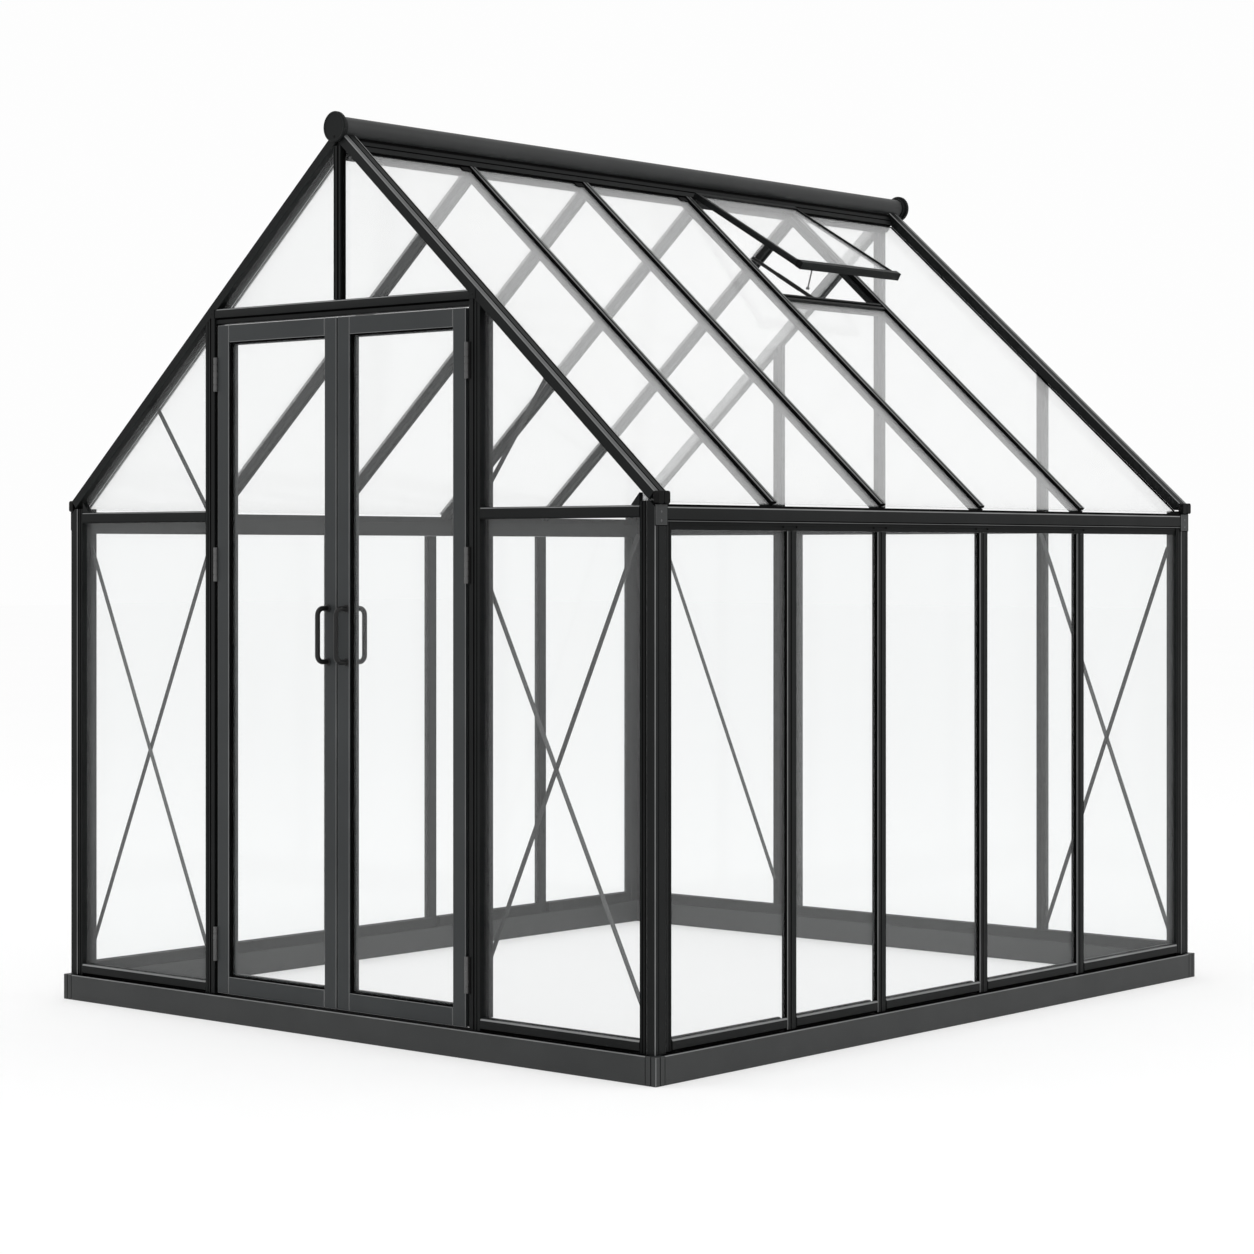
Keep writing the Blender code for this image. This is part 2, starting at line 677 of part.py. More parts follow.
def add_pivot(name, location, rotation=None):
    pivot = bpy.data.objects.new(name, None)
    bpy.data.collections[COLLECTION].objects.link(pivot)
    pivot.location = location
    if rotation:
        pivot.rotation_euler = rotation
    bpy.context.view_layer.update()
    return pivot


def hang(obj, pivot):
    """Parents an object that is already in its place to a pivot on its joint's axis."""
    obj.parent = pivot
    obj.matrix_parent_inverse = pivot.matrix_world.inverted()


def build_leaf(name, side, metal, clear):
    """A door leaf with its hinge knuckles, its pane and its pair of pull handles."""
    pivot = add_pivot(f"door_hinge_{name}", (side * HINGE_X, FRONT - HINGE_Y_PROUD, 0))
    low = (side * LEAF_INNER, FRONT, LEAF_BOTTOM)
    high = (side * LEAF_OUTER, FRONT + LEAF_THICK, LEAF_TOP)
    frame = box(f"door_frame_{name}", low, high, metal)
    inner = LEAF_INNER + STILE
    outer = LEAF_OUTER - STILE
    low = (side * inner, FRONT - CUT_THROUGH, LEAF_BOTTOM + RAIL)
    high = (side * outer, FRONT + LEAF_THICK + CUT_THROUGH, LEAF_TOP - RAIL)
    cut(frame, box(f"{name}_window", low, high, None, CUTTERS))
    for index, height in enumerate(HINGE_HEIGHTS):
        join(frame, hinge_knuckle(f"{name}_knuckle{index}", side, height))
    for height in (HANDLE_BOTTOM, HANDLE_TOP):
        start = (side * HANDLE_X, FRONT - CUT_THROUGH, height)
        end = (side * HANDLE_X, FRONT + LEAF_THICK + CUT_THROUGH, height)
        hole = cylinder(f"{name}_hole", HANDLE_HOLE_R, start, end, None, SMALL_ROUND_SIDES, CUTTERS)
        cut(frame, hole)
    low = (side * (inner + GAP), FRONT + DOOR_PANE_DEPTH, LEAF_BOTTOM + RAIL + GAP)
    high = (side * (outer - GAP), FRONT + DOOR_PANE_DEPTH + PANE, LEAF_TOP - RAIL - GAP)
    pane = box(f"door_pane_{name}", low, high, clear)
    handle = build_handle(f"door_handle_{name}", side, metal)
    for obj in (frame, pane, handle):
        hang(obj, pivot)


def hinge_knuckle(name, side, height):
    """A round knuckle on the joint's axis and the web that holds it to the stile."""
    axis_y = FRONT - HINGE_Y_PROUD
    low = height - HINGE_LENGTH / 2
    high = height + HINGE_LENGTH / 2
    start = (side * HINGE_X, axis_y, low)
    end = (side * HINGE_X, axis_y, high)
    knuckle = cylinder(name, HINGE_R, start, end, None, SMALL_ROUND_SIDES, CUTTERS)
    root = (side * (LEAF_OUTER - HINGE_WEB_LAP), FRONT + HINGE_WEB_FACE, low)
    tip = (side * HINGE_X, axis_y + HINGE_R - HINGE_WEB_INSET, high)
    return join(knuckle, box(f"{name}_web", root, tip, None, CUTTERS))


def build_handle(name, side, metal):
    """Back-to-back pull handles: one closed loop of tube bolted through the stile."""
    low_y = FRONT - HANDLE_REACH
    high_y = FRONT + LEAF_THICK + HANDLE_REACH
    corners = [
        (low_y, HANDLE_BOTTOM, 180),
        (high_y, HANDLE_BOTTOM, 270),
        (high_y, HANDLE_TOP, 0),
        (low_y, HANDLE_TOP, 90),
    ]
    middle_y = (low_y + high_y) / 2
    middle_z = (HANDLE_BOTTOM + HANDLE_TOP) / 2
    points = []
    for y, z, first in corners:
        centre_y = y + math.copysign(HANDLE_CORNER, middle_y - y)
        centre_z = z + math.copysign(HANDLE_CORNER, middle_z - z)
        for step in range(HANDLE_CORNER_STEPS + 1):
            angle = math.radians(first + 90 * step / HANDLE_CORNER_STEPS)
            y_point = centre_y + HANDLE_CORNER * math.cos(angle)
            z_point = centre_z + HANDLE_CORNER * math.sin(angle)
            points.append((side * HANDLE_X, y_point, z_point))
    curve = bpy.data.curves.new(name, "CURVE")
    curve.dimensions = "3D"
    curve.bevel_depth = HANDLE_R
    curve.bevel_resolution = HANDLE_BEVEL_STEPS
    spline = curve.splines.new("POLY")
    spline.points.add(len(points) - 1)
    for spline_point, point in zip(spline.points, points):
        spline_point.co = (*point, 1)
    spline.use_cyclic_u = True
    mesh = mesh_of_curve(name, curve)
    mesh.shade_smooth()
    return add_object(name, mesh, metal)


def roof_axes(side):
    down = roof_point(side, 1, 0, 0) - roof_point(side, 0, 0, 0)
    return Matrix((down, Y_AXIS, roof_up(side))).transposed()


def build_vent(metal, clear):
    """The roof vent, its seat and its stay. Both moving pieces are built ajar."""
    low_line, high_line = vent_bay()
    ajar = (roof_axes(1) @ Matrix.Rotation(-VENT_OPEN, 3, "Y")).to_euler()
    axis_at = roof_point(1, VENT_AXIS_S, (low_line + high_line) / 2, VENT_AXIS_V)
    hinge = add_pivot("vent_hinge", axis_at, ajar)
    half = VENT_WIDTH / 2
    window_end = VENT_LENGTH - VENT_BOTTOM_RAIL
    frame = box("vent_frame", (-VENT_HEEL, -half, VENT_LOW), (VENT_LENGTH, half, VENT_HIGH), metal)
    window_low = (VENT_TOP_RAIL, VENT_SIDE - half, VENT_LOW - CUT_THROUGH)
    window_high = (window_end, half - VENT_SIDE, VENT_HIGH + CUT_THROUGH)
    window = box("vent_window", window_low, window_high, None, CUTTERS)
    lip_high = (VENT_LENGTH + VENT_LIP_PROUD, half, VENT_LIP_HIGH)
    lip = box("vent_bottom_rail", (window_end, -half, VENT_LIP_LOW), lip_high, None, CUTTERS)
    cut(frame, window)
    join(frame, lip)
    pane_low = (VENT_TOP_RAIL + GAP, VENT_SIDE - half + GAP, 0)
    pane_high = (window_end - GAP, half - VENT_SIDE - GAP, PANE)
    pane = box("vent_pane", pane_low, pane_high, clear)
    for obj in (frame, window, lip, pane):
        obj.parent = hinge
    build_vent_seat(low_line, high_line, metal)
    build_vent_stay(ajar, metal)


def build_vent_seat(low_line, high_line, metal):
    """The cross bar between two rafters that the vent closes on."""
    seat_s = (SEAT_TOP_S + SEAT_BOTTOM_S) / 2
    body = RAFTER_BODY_WIDTH / 2 + GAP
    start = roof_point(1, seat_s, low_line + body, 0)
    end = roof_point(1, seat_s, high_line - body, 0)
    profile = rectangle(SEAT_BOTTOM_S - SEAT_TOP_S, -RAFTER_DROP - RAFTER_DEPTH, -RAFTER_DROP)
    bar("vent_seat_bar", profile, start, end, roof_up(1), metal)


def build_vent_stay(ajar, metal):
    """A round arm and its eye, pivoted above the seat and parallel to the vent."""
    pivot = add_pivot("vent_stay_pivot", roof_point(1, STAY_AXIS_S, STAY_Y, STAY_AXIS_V), ajar)
    stay = cylinder("vent_stay", STAY_R, (-STAY_LENGTH, 0, 0), (0, 0, 0), metal, SMALL_ROUND_SIDES)
    eye_low = (0, -STAY_EYE_HALF, 0)
    eye_high = (0, STAY_EYE_HALF, 0)
    eye = cylinder("stay_eye", STAY_EYE_R, eye_low, eye_high, None, SMALL_ROUND_SIDES, CUTTERS)
    join(stay, eye)
    for obj in (stay, eye):
        obj.parent = pivot


def main():
    clear_scene()
    metal = make_material("anthracite_aluminium", *METAL_LOOK)
    clear = make_material("clear_pane", *PANE_LOOK)
    cutters = Cutters()
    build_base(metal)
    build_corner_posts(metal, cutters)
    build_side_walls(metal, clear, cutters)
    build_ridge(metal)
    build_rafters(metal, cutters)
    build_roof_panes(clear)
    build_front(metal, clear, cutters)
    build_rear(metal, clear, cutters)
    build_braces(metal, cutters)
    for name, side in (("left", -1), ("right", 1)):
        build_leaf(name, side, metal, clear)
    build_vent(metal, clear)
    for obj in bpy.data.collections[CUTTERS].objects:
        as_cutter(obj)


main()
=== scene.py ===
import json
import math

import bmesh
import bpy
from mathutils import Matrix, Vector


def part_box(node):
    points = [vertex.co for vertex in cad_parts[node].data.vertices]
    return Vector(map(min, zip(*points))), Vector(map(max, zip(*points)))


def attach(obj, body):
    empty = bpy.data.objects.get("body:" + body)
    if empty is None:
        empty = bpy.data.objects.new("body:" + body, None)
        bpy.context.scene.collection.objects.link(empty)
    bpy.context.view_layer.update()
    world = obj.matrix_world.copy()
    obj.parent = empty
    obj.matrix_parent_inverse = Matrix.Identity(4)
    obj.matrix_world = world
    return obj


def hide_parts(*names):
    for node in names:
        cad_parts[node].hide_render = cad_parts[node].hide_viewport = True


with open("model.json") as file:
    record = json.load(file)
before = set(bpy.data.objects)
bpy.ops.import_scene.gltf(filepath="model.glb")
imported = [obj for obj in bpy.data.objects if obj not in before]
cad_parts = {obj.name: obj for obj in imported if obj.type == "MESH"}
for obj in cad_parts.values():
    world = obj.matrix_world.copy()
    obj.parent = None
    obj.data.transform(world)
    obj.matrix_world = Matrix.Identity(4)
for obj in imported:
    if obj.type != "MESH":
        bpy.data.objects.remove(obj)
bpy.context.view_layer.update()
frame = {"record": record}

CAMERA_AT = (6.3313, -7.4224, 1.3928)
CAMERA_YAW = math.radians(40.778)
FOCAL_MM = 87.07
SENSOR_MM = 36.0
HORIZON_SHIFT = -0.0581

SIDES = (("left", -1), ("right", 1))
X_AXIS = Vector((1, 0, 0))
Y_AXIS = Vector((0, 1, 0))
Z_AXIS = Vector((0, 0, 1))

# The frame's layout, from the CAD nodes' boxes where those give it
RIDGE_CAP_R = 0.0445
RIDGE_TUBE_R = 0.032
RIDGE_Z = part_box("ridge_bar")[1].z - RIDGE_CAP_R
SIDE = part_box("mullion_right_1")[1].x
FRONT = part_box("front_rail_left")[0].y
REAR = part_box("corner_post_rear_left")[1].y
BASE_TOP = 0.0775
SLOPE = math.radians(41.59)
COS = math.cos(SLOPE)
SIN = math.sin(SLOPE)
SEAM = 0.0005  # half of the gap between two pieces that butt
PANE = 0.004
WEB = 0.005  # half width of a bar's web between two panes
REAR_POSTS = (-0.491, -0.039, 0.646)  # along X
SHORT_POST_X = -0.41
BASE_PROUD = 0.016  # the base stands out beyond the walls
BASE_CORNER = 0.036  # width of the connector at each corner of the base
POST_EDGE = SIDE - 0.0556  # where a gable rail or sill meets a corner post
PANE_EDGE = SIDE - 0.056
PANE_FOOT = 0.111
ROOF_FOOT_X = 1.185
ROOF_TOP_S = 0.076  # the roof panes start this far down the slope
SEAT_S = 0.59
JAMB_INNER = 0.5265
JAMB_OUTER = 0.567
DOOR_SIDE = 0.5676  # where panes and rails meet a jamb
HINGE_X = 0.519
HINGE_LENGTH = 0.102
HINGE_HEIGHTS = (0.229, 1.362, 1.929)
VENT_AJAR = math.radians(11)
SHARP_ANGLE = math.radians(35)
BEVEL_ANGLE = math.radians(30)
INNER_LINES = (2, 3, 4, 5)


def middle(node):
    low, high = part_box(node)
    return (low + high) / 2


WALL_LINES = {n: [middle(f"mullion_{n}_{i}").y for i in (1, 2, 3, 4)] for n, _ in SIDES}
ROOF_LINES = {n: [middle(f"rafter_{n}_{i}").y for i in INNER_LINES] for n, _ in SIDES}


# ---- materials


def new_material(name):
    material = bpy.data.materials.new(name)
    material.use_nodes = True
    tree = material.node_tree
    tree.nodes.clear()
    output = tree.nodes.new("ShaderNodeOutputMaterial")
    return material, tree, output


def noise(tree, scale, detail=3.0):
    """Noise in the piece's own coordinates."""
    coords = tree.nodes.new("ShaderNodeTexCoord")
    texture = tree.nodes.new("ShaderNodeTexNoise")
    texture.inputs["Scale"].default_value = scale
    texture.inputs["Detail"].default_value = detail
    tree.links.new(coords.outputs["Object"], texture.inputs["Vector"])
    return texture.outputs["Fac"]


def ramp(tree, fac, low, high):
    """Two colours, blended over the middle of the noise's range."""
    node = tree.nodes.new("ShaderNodeValToRGB")
    node.color_ramp.elements[0].position = 0.3
    node.color_ramp.elements[1].position = 0.7
    node.color_ramp.elements[0].color = (*low, 1)
    node.color_ramp.elements[1].color = (*high, 1)
    tree.links.new(fac, node.inputs["Fac"])
    return node.outputs["Color"]


def spread(tree, fac, low, high):
    node = tree.nodes.new("ShaderNodeMapRange")
    node.inputs["To Min"].default_value = low
    node.inputs["To Max"].default_value = high
    tree.links.new(fac, node.inputs["Value"])
    return node.outputs["Result"]


def coated(name, dark, light, rough, grain=1400.0, relief=0.00004, metallic=0.0, specular=0.4):
    """A coated or moulded surface: fine grain, soft mottling and uneven gloss."""
    material, tree, output = new_material(name)
    shader = tree.nodes.new("ShaderNodeBsdfPrincipled")
    shader.inputs["Metallic"].default_value = metallic
    shader.inputs["Specular IOR Level"].default_value = specular
    tree.links.new(ramp(tree, noise(tree, 5.0), dark, light), shader.inputs["Base Color"])
    tree.links.new(spread(tree, noise(tree, 18.0), rough[0], rough[1]), shader.inputs["Roughness"])
    bump = tree.nodes.new("ShaderNodeBump")
    bump.inputs["Strength"].default_value = 0.35
    bump.inputs["Distance"].default_value = relief
    tree.links.new(noise(tree, grain, 2.0), bump.inputs["Height"])
    tree.links.new(bump.outputs["Normal"], shader.inputs["Normal"])
    tree.links.new(shader.outputs["BSDF"], output.inputs["Surface"])
    return material


def pane_material(name, clear, veil, haze_low, haze_high):
    """Clear sheet: mostly see-through, with a thin white haze and a gloss at low angles."""
    material, tree, output = new_material(name)
    see_through = tree.nodes.new("ShaderNodeBsdfTransparent")
    see_through.inputs["Color"].default_value = (*clear, 1)
    tint = ramp(tree, noise(tree, 2.2), tuple(c * 0.985 for c in veil), veil)
    haze = tree.nodes.new("ShaderNodeMixShader")
    for socket, kind in ((1, "ShaderNodeBsdfDiffuse"), (2, "ShaderNodeBsdfTranslucent")):
        scatter = tree.nodes.new(kind)
        tree.links.new(tint, scatter.inputs["Color"])
        tree.links.new(scatter.outputs["BSDF"], haze.inputs[socket])
    body = tree.nodes.new("ShaderNodeMixShader")
    tree.links.new(spread(tree, noise(tree, 1.3), haze_low, haze_high), body.inputs["Fac"])
    tree.links.new(see_through.outputs["BSDF"], body.inputs[1])
    tree.links.new(haze.outputs["Shader"], body.inputs[2])
    gloss = tree.nodes.new("ShaderNodeBsdfGlossy")
    gloss.inputs["Roughness"].default_value = 0.06
    gloss.inputs["Color"].default_value = (0.9, 0.92, 0.92, 1)
    edge = tree.nodes.new("ShaderNodeLayerWeight")
    edge.inputs["Blend"].default_value = 0.18
    surface = tree.nodes.new("ShaderNodeMixShader")
    tree.links.new(spread(tree, edge.outputs["Facing"], 0.004, 0.1), surface.inputs["Fac"])
    tree.links.new(body.outputs["Shader"], surface.inputs[1])
    tree.links.new(gloss.outputs["BSDF"], surface.inputs[2])
    tree.links.new(surface.outputs["Shader"], output.inputs["Surface"])
    return material


COAT = coated(
    "powder_coat", (0.005, 0.0057, 0.0057), (0.0072, 0.008, 0.008), (0.42, 0.54), specular=0.105
)
TUBE_COAT = coated(
    "ridge_powder_coat", (0.016, 0.017, 0.017), (0.022, 0.0232, 0.0232), (0.42, 0.52), specular=0.28
)
# A light copy of the coat: painted highlight on chamfers and bevels
HIGHLIGHT_COAT = coated("powder_coat_painted_highlight", (0.13, 0.134, 0.134), (0.2, 0.204, 0.204), (0.32, 0.42))
# A darker copy of the coat: painted shade on recessed faces
SHADE_COAT = coated(
    "powder_coat_painted_shade", (0.0032, 0.0036, 0.0036), (0.0048, 0.0054, 0.0054), (0.5, 0.6), specular=0.08
)
# A lighter copy of the coat: painted light on faces that catch it
LIT_COAT = coated("powder_coat_painted_light", (0.052, 0.054, 0.054), (0.08, 0.083, 0.083), (0.36, 0.46))
BASE_COAT = coated(
    "base_powder_coat", (0.0205, 0.022, 0.022), (0.0265, 0.028, 0.028), (0.4, 0.52), specular=0.3
)
LEAF_COAT = coated(
    "leaf_powder_coat", (0.0185, 0.021, 0.022), (0.0235, 0.0265, 0.0275), (0.4, 0.52), specular=0.28
)
BLACK = coated(
    "black_moulding", (0.0012, 0.0012, 0.0012), (0.003, 0.003, 0.003), (0.5, 0.65), 600.0, 0.0001, 0, 0.1
)
# Black rubber for the real seals and gaskets, also used as black painted shade on groove faces
RUBBER_AND_SHADE = coated(
    "black_gasket_and_painted_shade", (0.001, 0.001, 0.001), (0.002, 0.002, 0.002), (0.75, 0.9), 500.0, 0.0001, 0, 0.04
)
HANDLE = coated(
    "black_handle_coat", (0.004, 0.004, 0.004), (0.0075, 0.0075, 0.0075), (0.34, 0.46), specular=0.3
)
STEEL = coated(
    "zinc_steel", (0.2, 0.2, 0.2), (0.3, 0.3, 0.3), (0.3, 0.45), 900.0, 0.00003, 0.9
)
STAY = coated("stay_coat", (0.003, 0.003, 0.003), (0.006, 0.006, 0.006), (0.4, 0.5), specular=0.2)
# One strap in a lighter and a darker copy: painted light and painted shade on the arms
STRAP_LIT = coated("brace_strap_painted_light", (0.04, 0.042, 0.042), (0.064, 0.067, 0.067), (0.36, 0.46))
STRAP_SHADED = coated(
    "brace_strap_painted_shade", (0.012, 0.013, 0.013), (0.018, 0.019, 0.019), (0.4, 0.5), specular=0.3
)
HINGE = coated(
    "hinge_steel", (0.06, 0.06, 0.06), (0.095, 0.095, 0.095), (0.32, 0.42), 900.0, 0.00003
)
WALL_PANE = pane_material("wall_pane", (0.985, 0.988, 0.988), (0.985, 0.99, 0.99), 0.028, 0.038)
ROOF_PANE = pane_material("roof_pane", (0.999, 0.999, 0.999), (0.995, 0.998, 0.998), 0.212, 0.236)

# A piece's extra materials, and the marks on its outline that choose them: 1 a painted highlight on a
# chamfer, 2 black painted shade in a groove, 3 darker painted shade on a recessed face, 4 painted light on a
# face that catches it
EDGE_HIGHLIGHT = 1
GROOVE_SHADE = 2
RECESS_SHADE = 3
FACE_LIGHT = 4
PAINTED_LIGHT_AND_SHADE = (HIGHLIGHT_COAT, RUBBER_AND_SHADE, SHADE_COAT, LIT_COAT)


# ---- meshes


def prism(outline, start, end, up):
    """An extrusion. The outline is (across, up), and across is up x along.

    A third value on a point marks the face from that point to the next for a painted highlight, painted shade
    or painted light.
    """
    start = Vector(start)
    end = Vector(end)
    up = Vector(up)
    marks = [point[2] if len(point) > 2 else 0 for point in outline]
    outline = [point[:2] for point in outline]
    across = up.cross((end - start).normalized())
    bm = bmesh.new()
    near, far = ([bm.verts.new(at + across * a + up * b) for a, b in outline] for at in (start, end))
    bm.faces.new(list(reversed(near)))
    bm.faces.new(far)
    for i in range(len(outline)):
        j = (i + 1) % len(outline)
        bm.faces.new((near[i], near[j], far[j], far[i])).material_index = marks[i]
    bmesh.ops.recalc_face_normals(bm, faces=bm.faces)
    return bm


def flipped(outline):
    """The outline with its first coordinate negated, in the same order."""
    return [(-point[0], *point[1:]) for point in outline]


def mirrored(outline):
    """The outline mirrored across its middle, with each face keeping its mark for painted light and shade."""
    marks = [point[2] if len(point) > 2 else 0 for point in outline]
    turned = [(-point[0], point[1]) for point in reversed(outline)]
    marks = marks[-2::-1] + marks[-1:]
    return [(a, b, mark) for (a, b), mark in zip(turned, marks)]


def trim(bm, point, normal):
    """Cuts away what lies beyond a plane, and closes the cut."""
    everything = bm.verts[:] + bm.edges[:] + bm.faces[:]
    bmesh.ops.bisect_plane(bm, geom=everything, plane_co=point, plane_no=normal, clear_outer=True)
    bmesh.ops.holes_fill(bm, edges=bm.edges, sides=0)
    bmesh.ops.recalc_face_normals(bm, faces=bm.faces)
    return bm


def block(corner, opposite):
    ends = [sorted(pair) for pair in zip(corner, opposite)]
    (x0, x1), (y0, y1), (z0, z1) = ends
    outline = [(x0, y0), (x1, y0), (x1, y1), (x0, y1)]
    return prism([(-x, y) for x, y in outline], (0, 0, z1), (0, 0, z0), Y_AXIS)


def lathe(profile, start, along, segments):
    """A turned shape. The profile is (radius, distance along)."""
    along = Vector(along).normalized()
    side = along.orthogonal().normalized()
    other = along.cross(side)
    bm = bmesh.new()
    rings = []
    for radius, reach in profile:
        at = Vector(start) + along * reach
        ring = []
        for k in range(segments):
            angle = math.tau * k / segments
            ring.append(bm.verts.new(at + (side * math.cos(angle) + other * math.sin(angle)) * radius))
        rings.append(ring)
    for near, far in zip(rings, rings[1:]):
        for k in range(segments):
            j = (k + 1) % segments
            bm.faces.new((near[k], near[j], far[j], far[k]))
    bm.faces.new(rings[0])
    bm.faces.new(rings[-1])
    bmesh.ops.recalc_face_normals(bm, faces=bm.faces)
    return bm


def rod(radius, start, end, segments, chamfer=0.0008):
    start = Vector(start)
    end = Vector(end)
    length = (end - start).length
    rim = radius - chamfer
    profile = [(rim, 0), (radius, chamfer), (radius, length - chamfer), (rim, length)]
    return lathe(profile, start, end - start, segments)


def merge(*parts):
    """Several closed shapes as one mesh."""
    whole = bmesh.new()
    for part in parts:
        mesh = bpy.data.meshes.new("part")
        part.to_mesh(mesh)
        part.free()
        whole.from_mesh(mesh)
        bpy.data.meshes.remove(mesh)
    return whole


def add(
    name, bm, material, body="frame", slot="frame_metal", nodes=(), bevel=0.0007, matrix=None, highlight_bevels=False
):
    """Makes a piece of the mesh, with eased edges, and hangs it on its body."""
    if matrix:
        bm.transform(matrix)
    mesh = bpy.data.meshes.new(name)
    bm.to_mesh(mesh)
    bm.free()
    piece = bpy.data.objects.new(name, mesh)
    bpy.context.scene.collection.objects.link(piece)
    mesh.materials.append(material)
    # Extra slots for the painted highlight, painted shade and painted light
    if highlight_bevels or any(face.material_index for face in mesh.polygons):
        for tone in PAINTED_LIGHT_AND_SHADE:
            mesh.materials.append(tone)
    if slot != "clear_pane":
        mesh.shade_smooth()
        ease_edges(piece, bevel, highlight_bevels)
    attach(piece, body)
    if nodes:
        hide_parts(*nodes)


def ease_edges(piece, bevel, highlight_bevels):
    """Bevels the edges, with a painted highlight on the bevel faces if asked, or else only marks them sharp.
    """
    if bevel:
        edge = piece.modifiers.new("edges", "BEVEL")
        edge.width = bevel
        edge.segments = 2
        edge.limit_method = "ANGLE"
        edge.angle_limit = BEVEL_ANGLE
        edge.harden_normals = True
        # Bevel faces take the painted highlight
        if highlight_bevels:
            edge.material = EDGE_HIGHLIGHT
    else:
        piece.data.set_sharp_from_angle(angle=SHARP_ANGLE)


def section(left, right, bottom, top, grooves=()):
    """A bar's section with channels in its outer face, each (middle, width, depth); the channels' faces are
    painted black as shade.
    """
    points = [(left, bottom), (right, bottom), (right, top)]
    for at, width, depth in sorted(grooves, reverse=True):
        half = width / 2
        floor = top - depth
        points += [(at + half, top, GROOVE_SHADE), (at + half, floor, GROOVE_SHADE)]
        points += [(at - half, floor, GROOVE_SHADE), (at - half, top)]
    return points + [(left, top)]


def wall_prism(outline, outward, start, end):
    """A level bar on a wall. The outline is (height, distance out of the wall's face)."""
    outward = Vector(outward)
    face = SIDE if outward.x else abs(FRONT if outward.y < 0 else REAR)
    along = Z_AXIS.cross(outward)
    at = outward * face
    return prism(outline, at + along * start, at + along * end, outward)


def roof_point(side, s, y, v):
    """s runs down the slope from the ridge, v runs out of the slope."""
    return Vector((side * (s * COS + v * SIN), y, RIDGE_Z - s * SIN + v * COS))


def roof_up(side):
    return Vector((side * SIN, 0, COS))


def under_rafters(bm, side, clear=0.0305):
    """Cuts a gable piece off just under the gable rafter of that side."""
    return trim(bm, roof_point(side, 0, 0, -clear), roof_up(side))


def screw(at, outward, radius, height=0.0016):
    """A pan head with a dished top."""
    profile = [
        (radius, -0.002), (radius, height * 0.35), (radius * 0.86, height * 0.8),
        (radius * 0.5, height), (radius * 0.34, height), (radius * 0.3, height * 0.45),
        (radius * 0.02, height * 0.45),
    ]
    return lathe(profile, at, outward, 16)


# ---- base, sills


# Painted highlight on the outer chamfer, black painted shade in the top gutter
BASE_SECTION = [
    (0.0, -0.036), (0.0, 0.016), (0.0752, 0.016, EDGE_HIGHLIGHT), (BASE_TOP, 0.0137),
    (BASE_TOP, 0.0085, GROOVE_SHADE), (0.075, 0.0075, GROOVE_SHADE), (0.075, -0.034), (BASE_TOP, -0.036),
]

# The neck under the sill is painted black as the shadow gap; the top chamfer has a painted highlight
SILL_SECTION = [
    (0.0785, -0.036), (0.0785, -0.01, GROOVE_SHADE), (0.0855, -0.01, GROOVE_SHADE), (0.0855, 0.0),
    (0.1082, 0.0, EDGE_HIGHLIGHT), (0.1112, -0.0012, EDGE_HIGHLIGHT), (0.113, -0.003), (0.113, -0.011),
    (0.11, -0.012), (0.11, -0.024), (0.113, -0.026), (0.113, -0.036),
]

# The quirks are painted black as shade; the corner's chamfer has a painted highlight
BASE_CORNER_PLAN = [
    (0.0016, 0), (0.0165, 0, GROOVE_SHADE), (0.0165, 0.0016, GROOVE_SHADE), (0.019, 0.0016, GROOVE_SHADE),
    (0.019, 0), (BASE_CORNER, 0), (BASE_CORNER, BASE_CORNER), (0, BASE_CORNER), (0, 0.019, GROOVE_SHADE),
    (0.0016, 0.019, GROOVE_SHADE), (0.0016, 0.0165, GROOVE_SHADE), (0, 0.0165), (0, 0.0016, EDGE_HIGHLIGHT),
]


